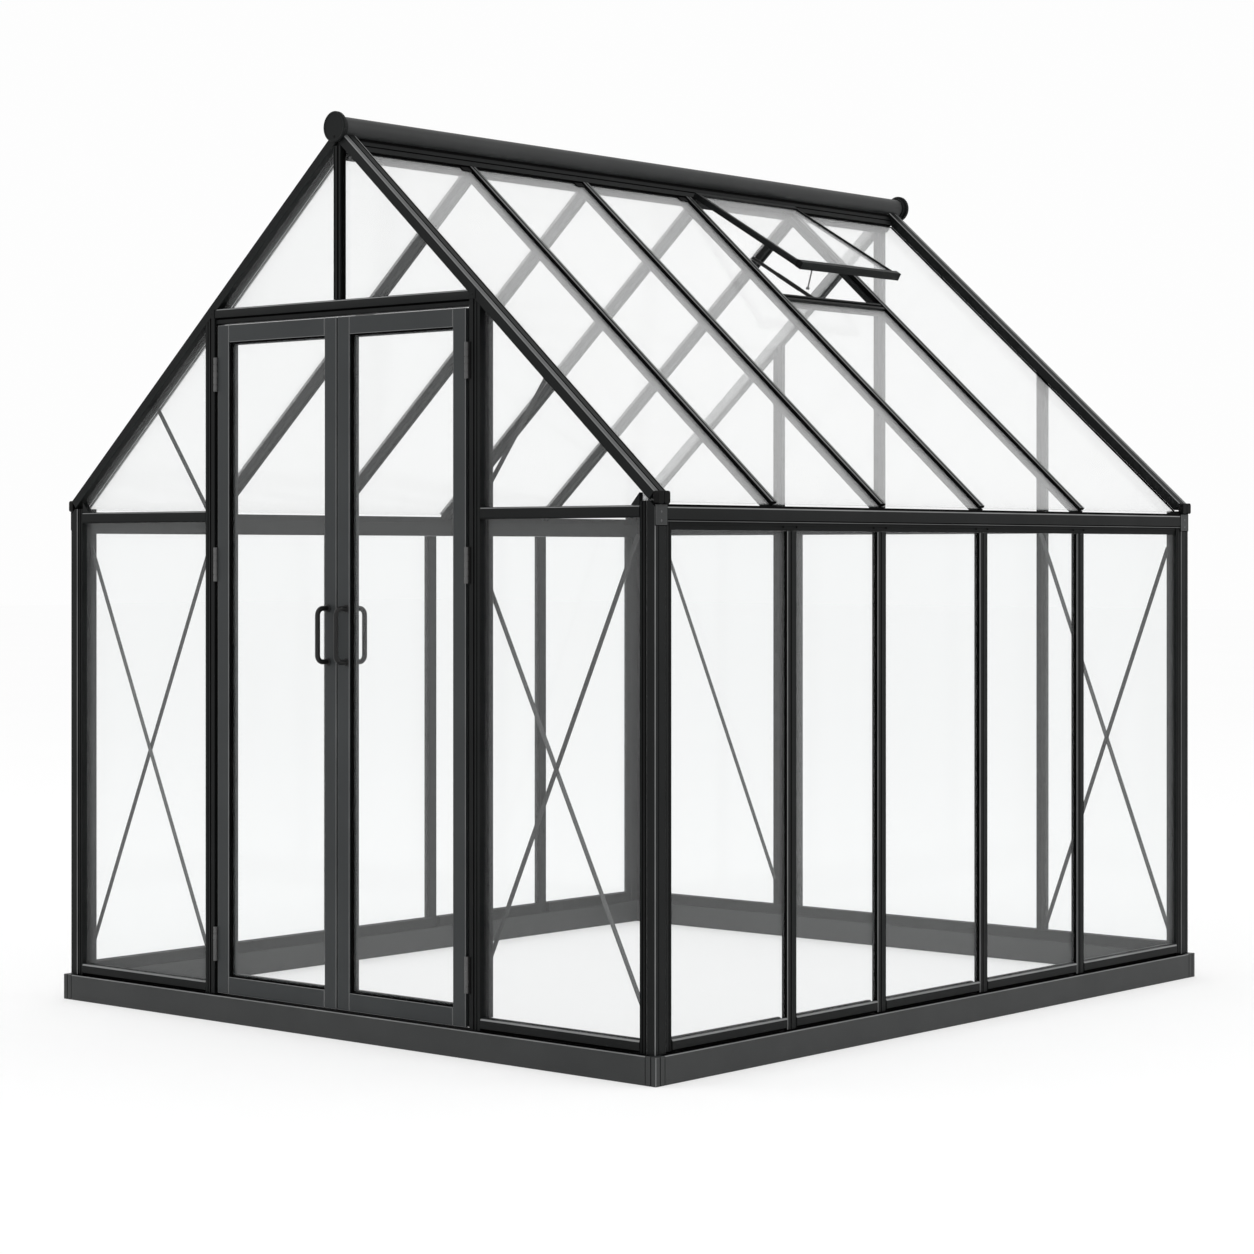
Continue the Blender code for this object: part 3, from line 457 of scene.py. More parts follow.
def build_base():
    walls = {"left": -X_AXIS, "right": X_AXIS, "front": -Y_AXIS, "rear": Y_AXIS}
    for name, outward in walls.items():
        reach = (abs(FRONT) if outward.x else SIDE) + BASE_PROUD - BASE_CORNER - 0.002
        rail = wall_prism(BASE_SECTION, outward, -reach, reach)
        add(f"base_{name}", rail, BASE_COAT, nodes=(f"base_rail_{name}",), bevel=0.0009)
    for end_name, y, end in (("front", FRONT, -1), ("rear", REAR, 1)):
        for side_name, side in SIDES:
            x = side * (SIDE + BASE_PROUD)
            y_out = y + end * BASE_PROUD
            # A square connector with a quirk on each outer face beside the corner's edge
            outline = [(x - side * p[0], y_out - end * p[1], *p[2:]) for p in BASE_CORNER_PLAN]
            square = plan_prism(outline, 0.0, BASE_TOP)
            add(f"base_corner_{end_name}_{side_name}", square, BASE_COAT, bevel=0.0006)
            seams = []
            for across, along in ((1, 0), (0, 1)):
                a = (x - side * (0.001 + across * (BASE_CORNER - 0.0004 - 0.001)),
                     y_out - end * (0.001 + along * (BASE_CORNER - 0.0004 - 0.001)), 0.0)
                b = (x - side * (BASE_CORNER + 0.0018 if across else BASE_CORNER - 0.004),
                     y_out - end * (BASE_CORNER + 0.0018 if along else BASE_CORNER - 0.004), BASE_TOP - 0.001)
                seams.append(block(a, b))
            add(f"base_seams_{end_name}_{side_name}", merge(*seams), RUBBER_AND_SHADE, bevel=0)
    post_y = 0.0705  # along Y, from the gable to the inside of a corner post
    for name, outward in (("left", -X_AXIS), ("right", X_AXIS)):
        sign = 1 if name == "right" else -1
        lines = [FRONT + post_y] + WALL_LINES[name] + [REAR - post_y]
        for i, (low, high) in enumerate(zip(lines, lines[1:])):
            start = low + (0.021 + SEAM if i else SEAM)
            end = high - (0.021 + SEAM if i < 4 else SEAM)
            ends = (start, end) if sign > 0 else (-end, -start)
            add(f"sill_{name}_{i + 1}", wall_prism(SILL_SECTION, outward, *ends), COAT)
    edge = SIDE - 0.0555
    door = 0.5675
    add("sill_rear", wall_prism(SILL_SECTION, Y_AXIS, -edge, edge), COAT)
    add("sill_front_left", wall_prism(SILL_SECTION, -Y_AXIS, -edge, -door), COAT)
    add("sill_front_right", wall_prism(SILL_SECTION, -Y_AXIS, door, edge), COAT)


def plan_prism(outline, low, high):
    """An upright extrusion of an (x, y) outline."""
    return prism(flipped(outline), (0, 0, high), (0, 0, low), Y_AXIS)


# ---- side walls


# Painted highlights on the chamfers, black painted shade in the grooves, darker painted shade on recessed
# faces
POST_PLAN = [
    (0.002, 0.0), (0.029, 0.0, EDGE_HIGHLIGHT), (0.031, 0.0016, GROOVE_SHADE), (0.031, 0.006, GROOVE_SHADE),
    (0.0348, 0.006, GROOVE_SHADE), (0.0348, 0.0016, RECESS_SHADE), (0.044, 0.0016, GROOVE_SHADE),
    (0.044, 0.0036, GROOVE_SHADE), (0.0462, 0.0036, GROOVE_SHADE), (0.0462, 0.0016, RECESS_SHADE), (0.055, 0.0016),
    (0.055, 0.04), (0.04, 0.04), (0.04, 0.07), (0.003, 0.07, RECESS_SHADE), (0.003, 0.0612, GROOVE_SHADE),
    (0.0056, 0.0612, GROOVE_SHADE), (0.0056, 0.0588, GROOVE_SHADE), (0.003, 0.0588),
    (0.003, 0.0478, GROOVE_SHADE), (0.009, 0.0478, GROOVE_SHADE), (0.009, 0.044, GROOVE_SHADE),
    (0.0014, 0.044, EDGE_HIGHLIGHT), (0.0, 0.0424), (0.0, 0.015, GROOVE_SHADE), (0.0012, 0.015, GROOVE_SHADE),
    (0.0012, 0.0132, GROOVE_SHADE), (0.0, 0.0132), (0.0, 0.002, EDGE_HIGHLIGHT),
]


def build_posts():
    for end_name, y, end in (("front", FRONT, -1), ("rear", REAR, 1)):
        for side_name, side in SIDES:
            outline = [(side * (SIDE - p[0]), y - end * p[1], *p[2:]) for p in POST_PLAN]
            post = under_rafters(plan_prism(outline, 0.0782, 1.534), side)
            name = f"corner_post_{end_name}_{side_name}"
            add(f"post_{end_name}_{side_name}", post, COAT, nodes=(name,), bevel=0.0008)
            # Bracket over the end of the eave rail
            low = (side * (SIDE - 0.001), y - end * 0.0008, 1.47)
            high = (side * (SIDE + 0.0016), y - end * 0.0478, 1.523)
            # A black plate just larger than the bracket, painted shadow round its outline
            shadow_low = (side * (SIDE - 0.002), y - end * 0.0004, 1.4676)
            shadow_high = (side * (SIDE + 0.0006), y - end * 0.0502, 1.5254)
            add(f"eave_bracket_seam_{end_name}_{side_name}", block(shadow_low, shadow_high), RUBBER_AND_SHADE, bevel=0)
            fixings = [block(low, high)]
            for z in (1.481, 1.505):
                at = (side * (SIDE + 0.0016), y - end * 0.024, z)
                fixings.append(screw(at, X_AXIS * side, 0.003, 0.0012))
            # The bracket's bevels carry a painted highlight
            add(f"eave_bracket_{end_name}_{side_name}", merge(*fixings), BASE_COAT, bevel=0.0009, highlight_bevels=True)
            # Black foot under the post
            low = (side * (SIDE - 0.003), y - end * 0.004, BASE_TOP)
            high = (side * (SIDE - 0.036), y - end * 0.072, 0.0835)
            add(f"post_foot_{end_name}_{side_name}", block(low, high), RUBBER_AND_SHADE, bevel=0.0006)


# Painted highlights on the chamfers, black painted shade in the grooves, darker painted shade on a recessed
# face
MULLION_SECTION = [
    (-0.017, -0.024), (0.017, -0.024), (0.017, -0.0164), (WEB, -0.0164), (WEB, -0.0116),
    (0.021, -0.0116, GROOVE_SHADE), (0.021, -0.0018, EDGE_HIGHLIGHT), (0.019, 0.0), (0.007, 0.0, GROOVE_SHADE),
    (0.007, -0.0056, GROOVE_SHADE), (0.0032, -0.0056, GROOVE_SHADE), (0.0032, 0.0), (-0.015, 0.0, GROOVE_SHADE),
    (-0.015, -0.0024, GROOVE_SHADE), (-0.0172, -0.0024, RECESS_SHADE), (-0.021, -0.0018, GROOVE_SHADE),
    (-0.021, -0.0116), (-WEB, -0.0116), (-WEB, -0.0164), (-0.017, -0.0164),
]

# Painted highlight on the lip, black painted shade in the grooves, darker painted shade and painted light on
# some faces
EAVE_SECTION = [
    (1.5247, -0.002, GROOVE_SHADE), (1.5247, -0.001, GROOVE_SHADE), (1.5178, -0.001, EDGE_HIGHLIGHT), (1.5146, 0.0),
    (1.4842, 0.0, GROOVE_SHADE), (1.4842, -0.003, GROOVE_SHADE), (1.4814, -0.003, GROOVE_SHADE),
    (1.4814, -0.0004, FACE_LIGHT), (1.479, -0.0004, GROOVE_SHADE), (1.479, -0.006, RECESS_SHADE),
    (1.47, -0.006, GROOVE_SHADE), (1.47, -0.0085, RECESS_SHADE), (1.457, -0.0085), (1.457, -0.0116),
    (1.46, -0.0116), (1.46, -0.0166), (1.457, -0.0166), (1.457, -0.05), (1.503, -0.05),
    (1.503, -0.043), (1.49, -0.043), (1.49, -0.007), (1.5247, -0.007),
]


def build_side_walls():
    for name, side in SIDES:
        outward = X_AXIS * side
        for i, y in enumerate(WALL_LINES[name], 1):
            outline = MULLION_SECTION if side > 0 else mirrored(MULLION_SECTION)
            bar = prism(outline, (side * SIDE, y, 0.08), (side * SIDE, y, 1.4566), outward)
            add(f"glazing_bar_{name}_{i}", bar, COAT, nodes=(f"mullion_{name}_{i}",))
            low = (side * (SIDE - 0.002), y - 0.0225, BASE_TOP)
            high = (side * (SIDE - 0.02), y + 0.0225, 0.0845)
            add(f"bar_foot_{name}_{i}", block(low, high), RUBBER_AND_SHADE, bevel=0.0005)
            shoulders = [(side * (SIDE - 0.006), y + d, 1.468) for d in (-0.03, 0.03)]
            screws = merge(*[screw(at, outward, 0.003) for at in shoulders])
            add(f"bar_screws_{name}_{i}", screws, BLACK, bevel=0)
        ends = abs(FRONT) - 0.0445
        rail = wall_prism(EAVE_SECTION, outward, -ends, ends)
        add(f"eave_{name}", rail, COAT, nodes=(f"eave_rail_{name}",))
        high_z = 1.46
        lines = [FRONT + 0.043] + WALL_LINES[name] + [REAR - 0.043]
        for i, (low, high) in enumerate(zip(lines, lines[1:])):
            start = low + (WEB + SEAM if i else 0)
            end = high - (WEB + SEAM if i < 4 else 0)
            sheet = block((side * (SIDE - 0.012), start, PANE_FOOT), (side * (SIDE - 0.016), end, high_z))
            nodes = (f"wall_panes_{name}",) if i == 0 else ()
            add(f"wall_pane_{name}_{i + 1}", sheet, WALL_PANE, slot="clear_pane", nodes=nodes)


# ---- roof


# Black painted shade on the sides and in the groove, painted light on the cap's faces
ROOF_BAR_SECTION = [
    (-0.014, -0.0262, GROOVE_SHADE), (-0.014, -0.0336), (-WEB, -0.0336), (-WEB, -0.0384),
    (-0.018, -0.0384), (-0.018, -0.058), (-0.0066, -0.058), (-0.0066, -0.055), (0.0066, -0.055),
    (0.0066, -0.058), (0.018, -0.058), (0.018, -0.0384), (WEB, -0.0384), (WEB, -0.0336),
    (0.014, -0.0336, GROOVE_SHADE), (0.014, -0.0262, GROOVE_SHADE), (0.0118, -0.024, FACE_LIGHT),
    (0.0024, -0.024, GROOVE_SHADE), (0.0024, -0.03, GROOVE_SHADE), (-0.0024, -0.03, GROOVE_SHADE),
    (-0.0024, -0.024, FACE_LIGHT), (-0.0118, -0.024, GROOVE_SHADE),
]

# Painted highlights on the edges, black painted shade in the grooves, painted light on one face
GABLE_RAFTER_SECTION = [
    (-0.025, -0.03), (0.025, -0.03), (0.025, -0.0016, EDGE_HIGHLIGHT), (0.0234, 0.0, EDGE_HIGHLIGHT),
    (0.02, 0.0, GROOVE_SHADE), (0.02, -0.004, GROOVE_SHADE), (0.0162, -0.004, GROOVE_SHADE), (0.0162, -0.0006),
    (-0.003, -0.0006, GROOVE_SHADE), (-0.003, -0.0042, GROOVE_SHADE), (-0.0068, -0.0042, GROOVE_SHADE),
    (-0.0068, -0.001, FACE_LIGHT), (-0.0222, -0.001, EDGE_HIGHLIGHT), (-0.025, -0.0026),
]


def build_rafters():
    foot = SIDE / COS
    for name, side in SIDES:
        up = roof_up(side)
        for number, y, end in ((1, FRONT + 0.025, -1), (6, REAR - 0.025, 1)):
            outline = mirrored(GABLE_RAFTER_SECTION) if side * end > 0 else GABLE_RAFTER_SECTION
            head_s = 0.0335
            bar = prism(outline, roof_point(side, head_s, y, 0), roof_point(side, foot - 0.004, y, 0), up)
            add(f"gable_rafter_{name}_{number}", bar, COAT, nodes=(f"rafter_{name}_{number}",), bevel=0.0008)
            lobes = []
            for lobe in (-1, 1):
                centre = Vector((side * (SIDE - 0.008), y + lobe * 0.0125, 1.5425))
                lobes.append(end_cap_lobe(centre, side, 0.012, 0.0172))
            add(f"rafter_cap_{name}_{number}", merge(*lobes), BLACK, bevel=0.0012)
        for number, y in zip(INNER_LINES, ROOF_LINES[name]):
            head = roof_point(side, 0.0728, y, 0)
            end = roof_point(side, (ROOF_FOOT_X + 0.024 * SIN) / COS, y, 0)
            bar = prism(ROOF_BAR_SECTION, head, end, up)
            add(f"roof_bar_{name}_{number}", bar, COAT, nodes=(f"rafter_{name}_{number}",))
            # Black plug in the bar's foot and a clip at its head
            tip = roof_point(side, ROOF_FOOT_X / COS + 0.0213, y, 0)
            outline = [(-0.0132, -0.0325), (0.0132, -0.0325), (0.0132, -0.0248), (-0.0132, -0.0248)]
            plug = prism(outline, end, end + (tip - end).normalized() * 0.004, up)
            add(f"roof_bar_plug_{name}_{number}", plug, BLACK, bevel=0.0008)
            ridge_clip = [(-0.052, -0.0335), (-0.0145, -0.0335), (-0.0145, -0.0285), (-0.052, -0.0285)]
            if side > 0:
                clip = prism(ridge_clip, roof_point(side, 0.074, y, 0), roof_point(side, 0.092, y, 0), up)
                add(f"ridge_clip_{name}_{number}", clip, BLACK, bevel=0.0008)


def end_cap_lobe(centre, side, half_width, half_height):
    """A moulded plug with rounded corners on the end of a gable rafter."""
    corner = 0.007
    outline = []
    for cx, cy, first in ((1, 1, 0), (-1, 1, 90), (-1, -1, 180), (1, -1, 270)):
        for step in range(6):
            angle = math.radians(first + 18 * step)
            x = cx * (half_width - corner) + corner * math.cos(angle)
            y = cy * (half_height - corner) + corner * math.sin(angle)
            outline.append((x, y))
    return prism(outline, centre, centre + X_AXIS * side * 0.019, Z_AXIS)


def roof_sheet(side, y0, y1, s0, s1):
    outline = [(y0 * side, -0.038), (y1 * side, -0.038), (y1 * side, -0.034), (y0 * side, -0.034)]
    return prism(outline, roof_point(side, s0, 0, 0), roof_point(side, s1, 0, 0), roof_up(side))


def build_roof_panes():
    foot_s = ROOF_FOOT_X / COS + 0.0185
    for name, side in SIDES:
        lines = [FRONT + 0.05] + ROOF_LINES[name] + [REAR - 0.05]
        for i, (low, high) in enumerate(zip(lines, lines[1:])):
            start = low + (WEB + SEAM if i else SEAM)
            end = high - (WEB + SEAM if i < 4 else SEAM)
            first = 0.6055 if side > 0 and i == 3 else ROOF_TOP_S
            nodes = (f"roof_panes_{name}",) if i == 0 else ()
            sheet = roof_sheet(side, start, end, first, foot_s)
            add(f"roof_pane_{name}_{i + 1}", sheet, ROOF_PANE, slot="clear_pane", nodes=nodes)
    for name, side in SIDES:
        for end_name, y, end in (("front", FRONT, -1), ("rear", REAR, 1)):
            a = y - end * 0.0506
            b = y - end * 0.058
            gasket = roof_sheet(side, min(a, b), max(a, b), ROOF_TOP_S, foot_s)
            bmesh.ops.translate(gasket, verts=gasket.verts, vec=roof_up(side) * 0.0045)
            add(f"roof_gasket_{name}_{end_name}", gasket, RUBBER_AND_SHADE, bevel=0.0005)


def build_ridge():
    centre = Vector((0, 0, RIDGE_Z))
    low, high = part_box("ridge_bar")
    front = low.y
    rear = high.y
    tube = lathe(
        [(RIDGE_TUBE_R, 0), (RIDGE_TUBE_R, rear - front - 0.024)],
        centre + Y_AXIS * (front + 0.012),
        Y_AXIS,
        64,
    )
    add("ridge_tube", tube, TUBE_COAT, nodes=("ridge_bar",), bevel=0)
    # Each end: a disc with an eased rim and a slight dish, and a collar behind it
    disc = [
        (0.0004, 0.0012), (0.037, 0.0012), (0.0385, 0.0), (0.0425, 0.0), (RIDGE_CAP_R, 0.0018),
        (RIDGE_CAP_R, 0.01), (0.0435, 0.012), (0.038, 0.012), (0.037, 0.0128), (0.036, 0.023),
        (0.0335, 0.024), (0.0004, 0.024),
    ]
    for name, y, along in (("front", front, Y_AXIS), ("rear", rear, -Y_AXIS)):
        add(f"ridge_cap_{name}", lathe(disc, centre + Y_AXIS * y, along, 64), COAT, bevel=0)
        at = centre + Y_AXIS * y + along * 0.0012 + Z_AXIS * -0.029
        add(f"ridge_cap_screw_{name}", screw(at, -along, 0.0042, 0.001), BLACK, bevel=0)
    # The marked faces are painted black as shade
    half = [
        (0.029, -0.008, GROOVE_SHADE), (0.04, -0.0125), (0.052, -0.0172, GROOVE_SHADE),
        (0.052, -0.0215, GROOVE_SHADE), (0.056, -0.0215, GROOVE_SHADE), (0.056, -0.0185),
        (0.0722, -0.024, GROOVE_SHADE), (0.0722, -0.029, GROOVE_SHADE), (0.068, -0.029, GROOVE_SHADE),
        (0.068, -0.033), (0.0722, -0.033), (0.0722, -0.04), (0.069, -0.04), (0.069, -0.043),
        (0.0722, -0.043), (0.0722, -0.058), (0.05, -0.058),
    ]
    right = []
    for s, v, *mark in half:
        at = roof_point(1, s, 0, v)
        right.append((at.x, at.z, *mark))
    outline = right + mirrored(right)
    reach = REAR - 0.0505
    body = prism(outline, (0, reach, 0), (0, -reach, 0), Z_AXIS)
    add("ridge_body", body, COAT)


# ---- gables


def front_bar(x_low, x_high, z_low, z_high, depth, grooves=()):
    """An upright on the front gable with channels in its face."""
    outline = section(-x_high, -x_low, -depth, 0.0, [(-at, w, d) for at, w, d in grooves])
    return prism(outline, (0, FRONT, z_low), (0, FRONT, z_high), -Y_AXIS)


def build_front():
    for name, side in SIDES:
        low, high = sorted((side * JAMB_INNER, side * JAMB_OUTER))
        grooves = [(side * 0.544, 0.0042, 0.008), (side * 0.5555, 0.0024, 0.004)]
        jamb = front_bar(low, high, 0.0782, 2.225, 0.0415, grooves)
        add(f"jamb_{name}", under_rafters(jamb, side), COAT, nodes=(f"door_jamb_{name}",), bevel=0.0008)
        seal = block((side * 0.5262, FRONT + 0.006, 0.084), (side * HINGE_X, FRONT + 0.033, 2.078))
        add(f"jamb_seal_{name}", seal, RUBBER_AND_SHADE, bevel=0.0006)
        near, far = sorted((side * DOOR_SIDE, side * POST_EDGE))
        # Painted highlight on the top chamfer, black and darker painted shade at the step and the lip
        outline = [
            (1.489, -0.0176), (1.489, -0.0016, RECESS_SHADE), (1.4922, -0.0016, GROOVE_SHADE), (1.4922, 0.0),
            (1.5182, 0.0, EDGE_HIGHLIGHT), (1.5204, -0.0014, RECESS_SHADE), (1.522, -0.003), (1.522, -0.0176),
        ]
        rail = wall_prism(outline, -Y_AXIS, near, far)
        add(f"gable_rail_front_{name}", rail, COAT, nodes=(f"front_rail_{name}",))
        # Stop behind the panes, in from the jamb
        stop = block((side * DOOR_SIDE, FRONT + 0.024, 0.1135), (side * 0.58, FRONT + 0.04, 2.16))
        add(f"jamb_stop_{name}", under_rafters(stop, side, 0.034), COAT)
        # Gusset behind the rail's outer end
        x0 = side * PANE_EDGE
        x1 = side * (SIDE - 0.086)
        gusset = prism(
            [(-x0, 1.5225), (-x0, 1.556), (-x1, 1.5225)],
            (0, FRONT + 0.0012, 0),
            (0, FRONT + 0.0162, 0),
            Z_AXIS,
        )
        add(f"gusset_front_{name}", gusset, COAT)
    # Black painted shade in the groove, painted highlight on the top chamfer
    header = [
        (2.08, -0.0415), (2.08, -0.0075), (2.083, -0.006), (2.093, -0.006, GROOVE_SHADE),
        (2.093, -0.012, GROOVE_SHADE), (2.098, -0.012, GROOVE_SHADE), (2.098, -0.0006), (2.099, 0.0),
        (2.121, 0.0, EDGE_HIGHLIGHT), (2.1236, -0.0014), (2.125, -0.003), (2.125, -0.0415),
    ]
    add("header", wall_prism(header, -Y_AXIS, -0.5261, 0.5261), COAT, nodes=("door_header",), bevel=0.0008)
    for name, side in SIDES:
        # Corner block where the header meets the jamb
        low = (side * 0.5275, FRONT - 0.0016, 2.0985)
        high = (side * 0.55, FRONT + 0.003, 2.124)
        fixing = screw((side * 0.5388, FRONT - 0.0016, 2.111), -Y_AXIS, 0.0028, 0.001)
        plate = merge(block(low, high), fixing)
        add(f"header_plate_{name}", plate, COAT, bevel=0.0006)
    grooves = [(0.004, 0.0056, 0.009), (-0.01, 0.0022, 0.002)]
    post = front_bar(-0.014, 0.014, 2.1255, 2.5685, 0.0176, grooves)
    add("gable_post", post, COAT, nodes=("gable_post_front",))
    lip = block((0.0142, FRONT + 0.006, 2.1255), (0.02, FRONT + 0.017, 2.56))
    add("gable_post_gasket", lip, RUBBER_AND_SHADE, bevel=0.0005)


def outline_pane(name, points, y, nodes):
    """A pane with an (x, z) outline, with its outer face at y."""
    flat = prism([(-x, z) for x, z in points], (0, y + PANE, 0), (0, y, 0), Z_AXIS)
    flat.transform(Matrix.Scale(-1, 4, X_AXIS))
    bmesh.ops.recalc_face_normals(flat, faces=flat.faces)
    add(name, flat, WALL_PANE, slot="clear_pane", nodes=nodes)


def rafter_under(x, clear=0.031):
    return RIDGE_Z - (clear + abs(x) * SIN) / COS


def build_gable_panes():
    y = FRONT + 0.0182
    for name, side in SIDES:
        near = side * DOOR_SIDE
        far = side * PANE_EDGE
        for part, low, high in (("low", PANE_FOOT, 1.496), ("high", 1.516, None)):
            near_top = high or rafter_under(near)
            far_top = high or rafter_under(far)
            points = [(near, low), (far, low), (far, far_top), (near, near_top)]
            nodes = (f"front_pane_{name}",) if part == "low" else ()
            outline_pane(f"front_pane_{part}_{name}", points, y, nodes)
        peak = 2.56
        reach = (RIDGE_Z - 2.1256 - 0.031 / COS) * COS / SIN
        tip = (RIDGE_Z - peak - 0.031 / COS) * COS / SIN
        start = side * 0.006
        points = [(start, 2.1256), (side * reach, 2.1256), (side * tip, peak), (start, peak)]
        nodes = ("front_pane_gable",) if side > 0 else ()
        outline_pane(f"front_pane_peak_{name}", points, y, nodes)
    y = REAR - 0.022
    lines = [-PANE_EDGE, *REAR_POSTS, PANE_EDGE]
    for i, (low, high) in enumerate(zip(lines, lines[1:])):
        x0 = low + (WEB if i else 0)
        x1 = high - (WEB if i < 3 else 0)
        points = [(x0, PANE_FOOT), (x1, PANE_FOOT), (x1, rafter_under(x1)), (x0, rafter_under(x0))]
        if x0 < 0 < x1:
            points.insert(3, (0, rafter_under(0)))
        outline_pane(f"rear_pane_{i + 1}", points, y, ("rear_panes",) if i == 0 else ())


def build_rear():
    outline = [
        (-0.01, -0.0428), (0.01, -0.0428), (0.01, -0.0224), (WEB, -0.0224), (WEB, -0.0176),
        (0.0115, -0.0176), (0.0115, 0.0), (0.003, 0.0), (0.003, -0.004), (0.0, -0.004),
        (0.0, 0.0), (-0.0115, 0.0), (-0.0115, -0.0176), (-WEB, -0.0176), (-WEB, -0.0224),
        (-0.01, -0.0224),
    ]
    for i, x in enumerate(REAR_POSTS, 1):
        post = prism(outline, (x, REAR, 0.1134), (x, REAR, 2.58), Y_AXIS)
        post = under_rafters(under_rafters(post, 1), -1)
        nodes = ("rear_frame",) if i == 1 else ()
        add(f"rear_post_{i}", post, COAT, nodes=nodes)
    rail = [
        (1.463, -0.017), (1.463, -0.001), (1.466, 0.0), (1.518, 0.0), (1.522, -0.002),
        (1.522, -0.017),
    ]
    stops = [-POST_EDGE] + [x + d for x in REAR_POSTS for d in (-0.012, 0.012)] + [POST_EDGE]
    inner = [(1.468, -0.0268), (1.468, -0.0224), (1.516, -0.0224), (1.516, -0.0268)]
    for piece, outline in (("rear_rail", rail), ("rear_rail_inner", inner)):
        for i, (low, high) in enumerate(zip(stops[::2], stops[1::2]), 1):
            add(f"{piece}_{i}", wall_prism(outline, Y_AXIS, -high, -low), COAT)
    low = (SHORT_POST_X - 0.013, REAR - 0.016, 0.1134)
    high = (SHORT_POST_X + 0.013, REAR - 0.001, 1.4628)
    add("rear_post_short", block(low, high), COAT)


BRACES = {
    "brace_front_left": (
        ((-1.152, 1.412), (-0.574, 0.123)),
        ((-1.152, 0.166), (-0.57, 1.486)),
        ((-0.575, 1.481), (-0.85, 1.855)),
    ),
    "brace_front_right": (
        ((1.103, 1.445), (0.547, 0.238)),
        ((1.15, 0.123), (0.547, 1.325)),
        ((0.547, 1.567), (0.785, 1.89)),
    ),
    "brace_rear_left": (((-1.023, 1.445), (-0.491, 0.2075)),),
    "brace_rear_right": (
        ((0.645, 1.49), (1.152, 0.16)),
        ((0.675, 0.123), (1.152, 1.414)),
    ),
}


# The arms in the darker strap copy, painted shade, counted from 0 in each brace
SHADED_ARMS = {
    "brace_front_left": (1, 2),
    "brace_front_right": (0, 2),
    "brace_rear_left": (),
    "brace_rear_right": (1,),
}


def build_braces():
    """Flat straps inside the gables, each with a rolled edge and a screw at both ends."""
    half = 0.007
    for name, arms in BRACES.items():
        end = -1 if "front" in name else 1
        for i, (start, stop) in enumerate(arms):
            y = (FRONT if end < 0 else REAR) - end * (0.0443 + 0.0032 * (i % 2))
            a = Vector((start[0], y, start[1]))
            b = Vector((stop[0], y, stop[1]))
            outward = Y_AXIS * end
            outline = [
                (-half, -0.0028), (half, -0.0028), (half, 0.0), (half - 0.0022, 0.0),
                (half - 0.003, -0.0008), (-half + 0.003, -0.0008), (-half + 0.0022, 0.0),
                (-half, 0.0),
            ]
            strap = prism(outline, a, b, outward)
            if max(start[1], stop[1]) > 1.6:
                strap = under_rafters(strap, 1 if start[0] > 0 else -1, 0.033)
            nodes = (name,) if i == 0 else ()
            tone = STRAP_SHADED if i in SHADED_ARMS[name] else STRAP_LIT
            add(f"{name}_{i + 1}", strap, tone, nodes=nodes, bevel=0.0004)
            along = (b - a).normalized()
            ends = [a + along * 0.018 - outward * 0.0028, b - along * 0.018 - outward * 0.0028]
            add(f"{name}_screws_{i + 1}", merge(*[screw(p, -outward, 0.0042) for p in ends]), BLACK, bevel=0)


# ---- doors


def build_leaf(name, side):
    body = f"door_{name}"
    inner, outer, bottom, top = 0.003, 0.512, 0.083, 2.075
    stile, rail, thick = 0.048, 0.051, 0.034

    def member(x0, x1, z0, z1, piece, nodes=()):
        """A hollow-section member, a block with eased edges."""
        shape = block((side * x0, FRONT, z0), (side * x1, FRONT + thick, z1))
        # The member's bevels carry a painted highlight
        add(f"{piece}_{name}", shape, LEAF_COAT, body=body, nodes=nodes, bevel=0.0013, highlight_bevels=True)

    member(outer - stile, outer, bottom, top, "hinge_stile", (f"door_frame_{name}",))
    member(inner, inner + stile, bottom, top, "lock_stile")
    gap = 0.0014
    member(inner + stile + gap, outer - stile - gap, top - rail, top, "top_rail")
    member(inner + stile + gap, outer - stile - gap, bottom, bottom + rail, "bottom_rail")
    seams = []
    for x in (inner + stile, outer - stile - gap):
        for z in (top - rail, bottom):
            seams.append(block((side * x, FRONT + 0.0012, z), (side * (x + gap), FRONT + 0.0328, z + rail)))
    add(f"leaf_seams_{name}", merge(*seams), RUBBER_AND_SHADE, body=body, bevel=0)
    x0 = inner + stile
    x1 = outer - stile
    z0 = bottom + rail
    z1 = top - rail
    for piece, y, depth, width, material in (
        ("bead", 0.005, 0.0098, 0.0045, RUBBER_AND_SHADE),
        ("stop", 0.0194, 0.012, 0.008, LEAF_COAT),
    ):
        ring = [
            block((side * x0, FRONT + y, z0), (side * (x0 + width), FRONT + y + depth, z1)),
            block((side * (x1 - width), FRONT + y, z0), (side * x1, FRONT + y + depth, z1)),
            block((side * (x0 + width), FRONT + y, z0), (side * (x1 - width), FRONT + y + depth, z0 + width)),
            block((side * (x0 + width), FRONT + y, z1 - width), (side * (x1 - width), FRONT + y + depth, z1)),
        ]
        add(f"door_{piece}_{name}", merge(*ring), material, body=body, bevel=0.0005)
    low = (side * (x0 + 0.0006), FRONT + 0.015, z0 + 0.0006)
    high = (side * (x1 - 0.0006), FRONT + 0.019, z1 - 0.0006)
    nodes = (f"door_pane_{name}",)
    add(f"door_glass_{name}", block(low, high), WALL_PANE, body=body, slot="clear_pane", nodes=nodes)
    if name == "left":
        cover = block((0.0, FRONT + thick + 0.0004, bottom), (-0.02, FRONT + thick + 0.003, top))
        add("meeting_strip", cover, LEAF_COAT, body=body, bevel=0.0006)
    build_hinges(name, side, body)
    build_handle(name, side, body)


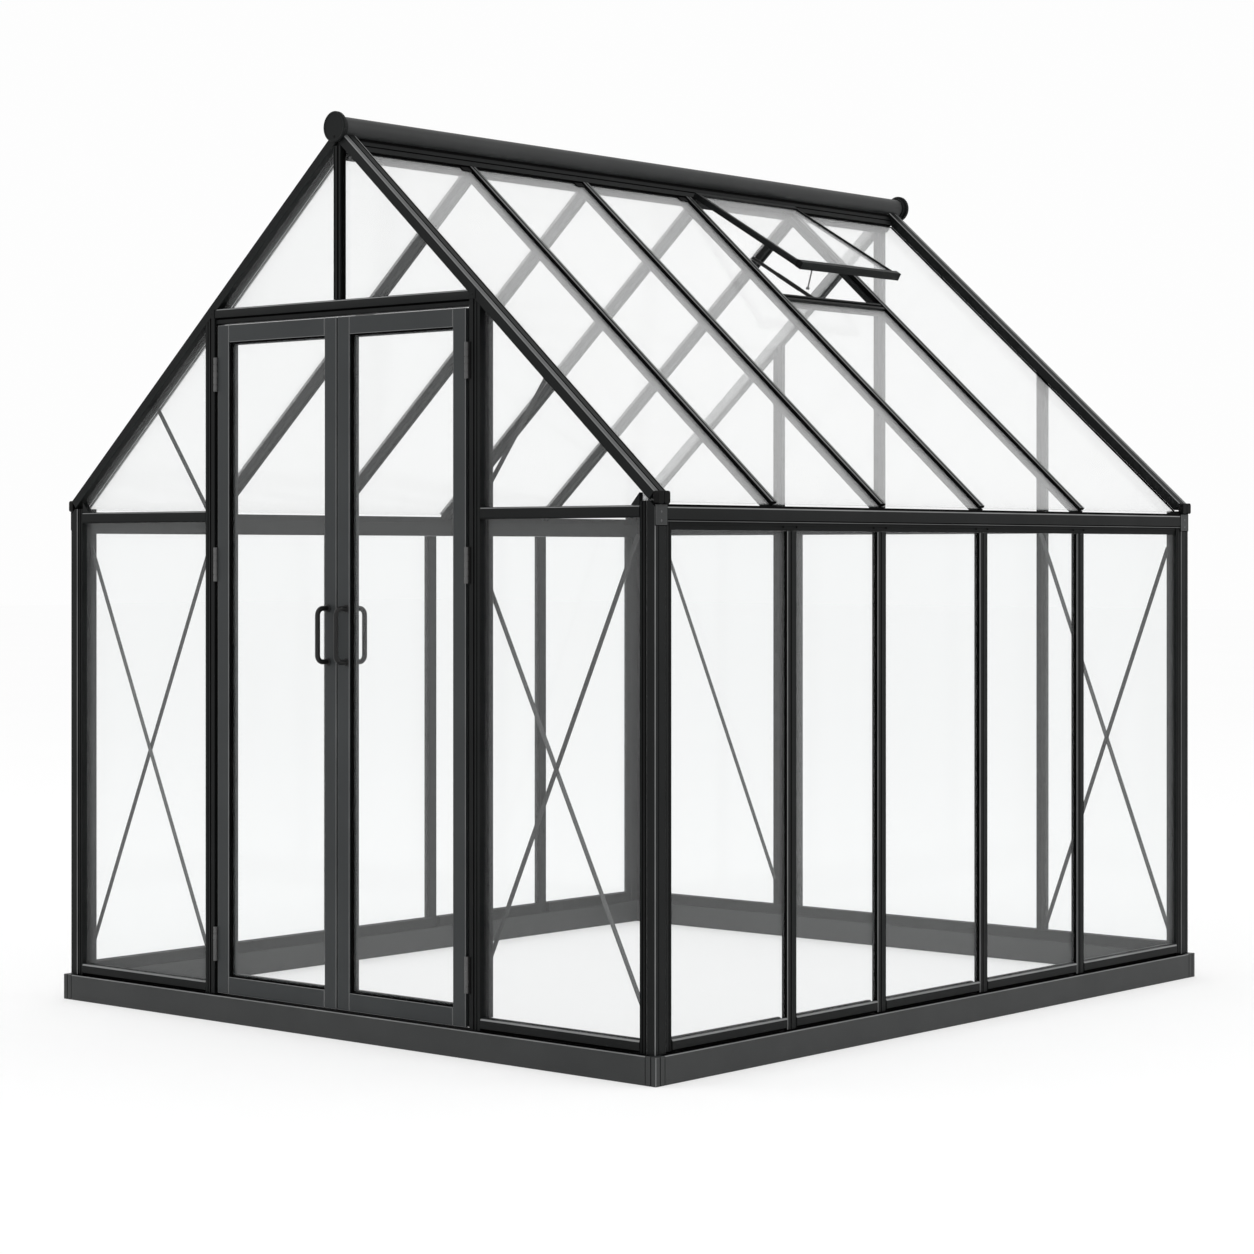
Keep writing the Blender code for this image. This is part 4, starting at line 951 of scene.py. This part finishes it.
def build_hinges(name, side, body):
    x = side * HINGE_X
    y = FRONT - 0.0025
    length = HINGE_LENGTH
    on_leaf = []
    on_jamb = []
    plates_leaf = []
    plates_jamb = []
    for height in HINGE_HEIGHTS:
        low = height - length / 2
        for k in range(5):
            start = Vector((x, y, low + length * k / 5 + 0.0004))
            end = Vector((x, y, low + length * (k + 1) / 5 - 0.0004))
            (on_jamb if k % 2 else on_leaf).append(rod(0.0064, start, end, 24, 0.0006))
        on_jamb.append(rod(0.003, (x, y, low + 0.002), (x, y, low + length - 0.002), 16))
        high = low + length
        plates_leaf.append(block((side * 0.5125, FRONT - 0.0004, low), (side * 0.5175, FRONT + 0.03, high)))
        plates_jamb.append(block((side * 0.5205, FRONT - 0.0022, low), (side * 0.533, FRONT + 0.0008, high)))
        for z in (-0.034, 0.0, 0.034):
            at = (side * 0.529, FRONT - 0.0022, height + z)
            plates_jamb.append(screw(at, -Y_AXIS, 0.0022, 0.0008))
    add(f"hinge_knuckles_{name}", merge(*on_leaf), HINGE, body=body, bevel=0)
    add(f"hinge_leaf_plates_{name}", merge(*plates_leaf), BLACK, body=body, bevel=0.0003)
    add(f"hinge_pins_{name}", merge(*on_jamb), HINGE, bevel=0)
    add(f"hinge_plates_{name}", merge(*plates_jamb), BLACK, bevel=0.0003)


def sweep(path, radius, across):
    """A round tube along a closed path that lies in a plane square to across."""
    sides = 20
    bm = bmesh.new()
    rings = []
    count = len(path)
    for i, point in enumerate(path):
        tangent = (path[(i + 1) % count] - path[i - 1]).normalized()
        other = tangent.cross(across)
        ring = []
        for k in range(sides):
            angle = math.tau * k / sides
            ring.append(bm.verts.new(point + (across * math.cos(angle) + other * math.sin(angle)) * radius))
        rings.append(ring)
    for i in range(count):
        near = rings[i]
        far = rings[(i + 1) % count]
        for k in range(sides):
            j = (k + 1) % sides
            bm.faces.new((near[k], near[j], far[j], far[k]))
    bmesh.ops.recalc_face_normals(bm, faces=bm.faces)
    return bm


def build_handle(name, side, body):
    x = side * 0.038
    low_y = FRONT - 0.04
    high_y = FRONT + 0.074
    low_z, high_z = 1.0825, 1.2365
    corner = 0.02
    path = []
    for y, z, first in (
        (low_y + corner, low_z + corner, 180),
        (high_y - corner, low_z + corner, 270),
        (high_y - corner, high_z - corner, 0),
        (low_y + corner, high_z - corner, 90),
    ):
        for step in range(11):
            angle = math.radians(first + 9 * step)
            path.append(Vector((x, y + corner * math.cos(angle), z + corner * math.sin(angle))))
    add(f"handle_{name}", sweep(path, 0.0074, X_AXIS), HANDLE, body=body, slot="handle_metal",
        nodes=(f"door_handle_{name}",), bevel=0)
    collars = []
    rose = [(0.008, 0), (0.0118, 0.0), (0.0118, 0.002), (0.0104, 0.0036), (0.008, 0.004)]
    for z in (low_z, high_z):
        collars.append(lathe(rose, (x, FRONT, z), -Y_AXIS, 28))
        collars.append(lathe(rose, (x, FRONT + 0.034, z), Y_AXIS, 28))
    add(f"handle_roses_{name}", merge(*collars), HANDLE, body=body, slot="handle_metal", bevel=0)


# ---- vent


def joint_at(name):
    """Where the record puts a joint."""
    for joint in frame["record"]["behaviour"]["joints"]:
        if joint["name"] == name:
            return Vector(joint["pos_m"])
    raise ValueError(name)


def ajar_matrix(at):
    down = roof_point(1, 1, 0, 0) - roof_point(1, 0, 0, 0)
    axes = Matrix((down, Y_AXIS, roof_up(1))).transposed()
    turned = axes @ Matrix.Rotation(-VENT_AJAR, 3, "Y")
    return Matrix.Translation(at) @ turned.to_4x4()


def build_vent():
    place = ajar_matrix(joint_at("vent_hinge"))
    half = 0.265
    long = 0.505

    def local(name, shape, material, nodes=(), bevel=0.0008, slot="frame_metal"):
        add(name, shape, material, body="vent", slot=slot, nodes=nodes, bevel=bevel, matrix=place)

    # A lipped arm on the left, a slim one on the right, a top rail and a boxed bottom rail
    for name, side in SIDES:
        outline = [
            (side * half, -0.008), (side * half, 0.01), (side * (half - 0.0015), 0.011),
            (side * (half - 0.015), 0.011), (side * (half - 0.018), 0.009),
            (side * (half - 0.018), 0.0045), (side * (half - 0.012), 0.004),
            (side * (half - 0.012), -0.0005), (side * (half - 0.018), -0.001),
            (side * (half - 0.018), -0.008),
        ]
        if side > 0:
            outline = [(half, -0.006), (half, 0.0095), (half - 0.006, 0.0095), (half - 0.006, -0.006)]
        arm = prism(outline, (0.014, 0, 0), (long - 0.0245, 0, 0), Z_AXIS)
        nodes = ("vent_frame",) if side < 0 else ()
        local(f"vent_arm_{name}", arm, COAT, nodes)
    local("vent_top_rail", block((-0.004, -half, -0.008), (0.0136, half, 0.011)), COAT)
    bottom = [
        (long - 0.024, -0.009), (long + 0.001, -0.009), (long + 0.001, 0.0105),
        (long - 0.0005, 0.012), (long - 0.0005, 0.015), (long - 0.0015, 0.016),
        (long - 0.02, 0.016), (long - 0.024, 0.011),
    ]
    bar = prism([(-x, z) for x, z in bottom], (0, half - 0.0016, 0), (0, -half + 0.0016, 0), Z_AXIS)
    bar.transform(Matrix.Scale(-1, 4, X_AXIS))
    bmesh.ops.recalc_face_normals(bar, faces=bar.faces)
    local("vent_bottom_rail", bar, COAT)
    for name, side in SIDES:
        low = (long - 0.024, side * (half - 0.0012), -0.009)
        high = (long + 0.001, side * half, 0.016)
        local(f"vent_rail_cap_{name}", block(low, high), BLACK, bevel=0.0003)
    low = (0.0142, -half + 0.0125, 0.0)
    high = (long - 0.0246, half - 0.0125, PANE)
    local("vent_glass", block(low, high), ROOF_PANE, ("vent_pane",), slot="clear_pane")
    # Push rod with an eye under the bottom rail
    top = Vector((long - 0.021, -0.175, -0.009))
    foot = Vector((long - 0.069, -0.085, -0.099))
    push = [rod(0.0026, top, foot, 16, 0.0006), rod(0.005, top - Y_AXIS * 0.006, top + Y_AXIS * 0.006, 20)]
    push.append(rod(0.0046, foot - Y_AXIS * 0.005, foot + Y_AXIS * 0.005, 20))
    local("vent_push_rod", merge(*push), STEEL, bevel=0, slot="stay_metal")


def build_vent_seat():
    low_y, high_y = ROOF_LINES["right"][2:4]
    up = roof_up(1)
    # Two dark rails with a channel between them
    outline = [
        (-0.015, -0.058), (0.015, -0.058), (0.015, -0.029), (0.013, -0.025), (0.005, -0.025),
        (0.005, -0.033), (-0.004, -0.033), (-0.004, -0.025), (-0.015, -0.025),
    ]
    start = roof_point(1, SEAT_S, low_y + 0.0185, 0)
    end = roof_point(1, SEAT_S, high_y - 0.0185, 0)
    add("vent_seat", prism(outline, start, end, up), COAT, nodes=("vent_seat_bar",))


def build_stay():
    pivot = joint_at("vent_stay_pivot")
    place = ajar_matrix(pivot)
    profile = [
        (0.002, 0), (0.0052, 0.001), (0.0052, 0.03), (0.006, 0.032), (0.006, 0.118),
        (0.007, 0.122), (0.007, 0.226), (0.0062, 0.23), (0.0062, 0.296), (0.003, 0.304),
    ]
    arm = lathe(profile, (-0.306, 0, 0), X_AXIS, 28)
    eye = rod(0.0083, (0, -0.0085, 0), (0, 0.0085, 0), 28)
    add("stay_arm", merge(arm, eye), STAY, body="vent_stay", slot="stay_metal", nodes=("vent_stay",), bevel=0,
        matrix=place)
    pin = rod(0.0032, (pivot.x, pivot.y - 0.015, pivot.z), (pivot.x, pivot.y + 0.015, pivot.z), 16)
    cheeks = []
    start = roof_point(1, 0.559, pivot.y, 0)
    end = roof_point(1, SEAT_S, pivot.y, 0)
    for d in (-1, 1):
        outline = [
            (d * 0.01, -0.06),
            (d * 0.013, -0.06),
            (d * 0.013, -0.04),
            (d * 0.01, -0.04),
        ]
        cheeks.append(prism(outline, start, end, roof_up(1)))
    add("stay_bracket", merge(pin, *cheeks), BLACK, slot="stay_metal", bevel=0.0004)


# ---- stage


def add_floor():
    bm = bmesh.new()
    bmesh.ops.create_grid(bm, x_segments=8, y_segments=8, size=60)
    mesh = bpy.data.meshes.new("floor")
    bm.to_mesh(mesh)
    bm.free()
    floor = bpy.data.objects.new("floor", mesh)
    floor.location.z = -0.0005
    bpy.context.scene.collection.objects.link(floor)
    material, tree, output = new_material("studio_floor")
    diffuse = tree.nodes.new("ShaderNodeBsdfDiffuse")
    shade = ramp(tree, noise(tree, 0.6), (0.975, 0.975, 0.975), (0.985, 0.985, 0.985))
    tree.links.new(shade, diffuse.inputs["Color"])
    glow = tree.nodes.new("ShaderNodeEmission")
    glow.inputs["Color"].default_value = (0.985, 0.985, 0.985, 1)
    mix = tree.nodes.new("ShaderNodeMixShader")
    mix.inputs["Fac"].default_value = 0.45
    tree.links.new(diffuse.outputs["BSDF"], mix.inputs[1])
    tree.links.new(glow.outputs["Emission"], mix.inputs[2])
    tree.links.new(mix.outputs["Shader"], output.inputs["Surface"])
    mesh.materials.append(material)


def add_light(name, at, target, size, power):
    data = bpy.data.lights.new(name, "AREA")
    data.shape = "SQUARE"
    data.size = size
    data.energy = power
    light = bpy.data.objects.new(name, data)
    light.location = at
    light.rotation_euler = (Vector(target) - Vector(at)).to_track_quat("-Z", "Y").to_euler()
    bpy.context.scene.collection.objects.link(light)


def add_world():
    world = bpy.data.worlds.new("studio")
    world.use_nodes = True
    background = world.node_tree.nodes["Background"]
    background.inputs["Color"].default_value = (0.985, 0.985, 0.985, 1)
    background.inputs["Strength"].default_value = 1.0
    bpy.context.scene.world = world


def add_camera():
    data = bpy.data.cameras.new("camera")
    data.sensor_width = SENSOR_MM
    data.lens = FOCAL_MM
    data.shift_y = HORIZON_SHIFT
    camera = bpy.data.objects.new("camera", data)
    camera.location = CAMERA_AT
    camera.rotation_euler = (math.radians(90), 0, CAMERA_YAW)
    bpy.context.scene.collection.objects.link(camera)
    bpy.context.scene.camera = camera


add_camera()
add_world()
add_floor()
add_light("key", (-6.0, -7.0, 8.0), (0, 0, 1), 5.0, 160)
add_light("rim", (7.0, 3.0, 6.0), (0, 0, 1), 4.0, 100)
bpy.context.scene.view_settings.view_transform = "Standard"
bpy.context.scene.cycles.transparent_max_bounces = 64

build_base()
build_posts()
build_side_walls()
build_rafters()
build_roof_panes()
build_ridge()
build_front()
build_gable_panes()
build_rear()
build_braces()
for side_name, side_sign in SIDES:
    build_leaf(side_name, side_sign)
build_vent()
build_vent_seat()
build_stay()
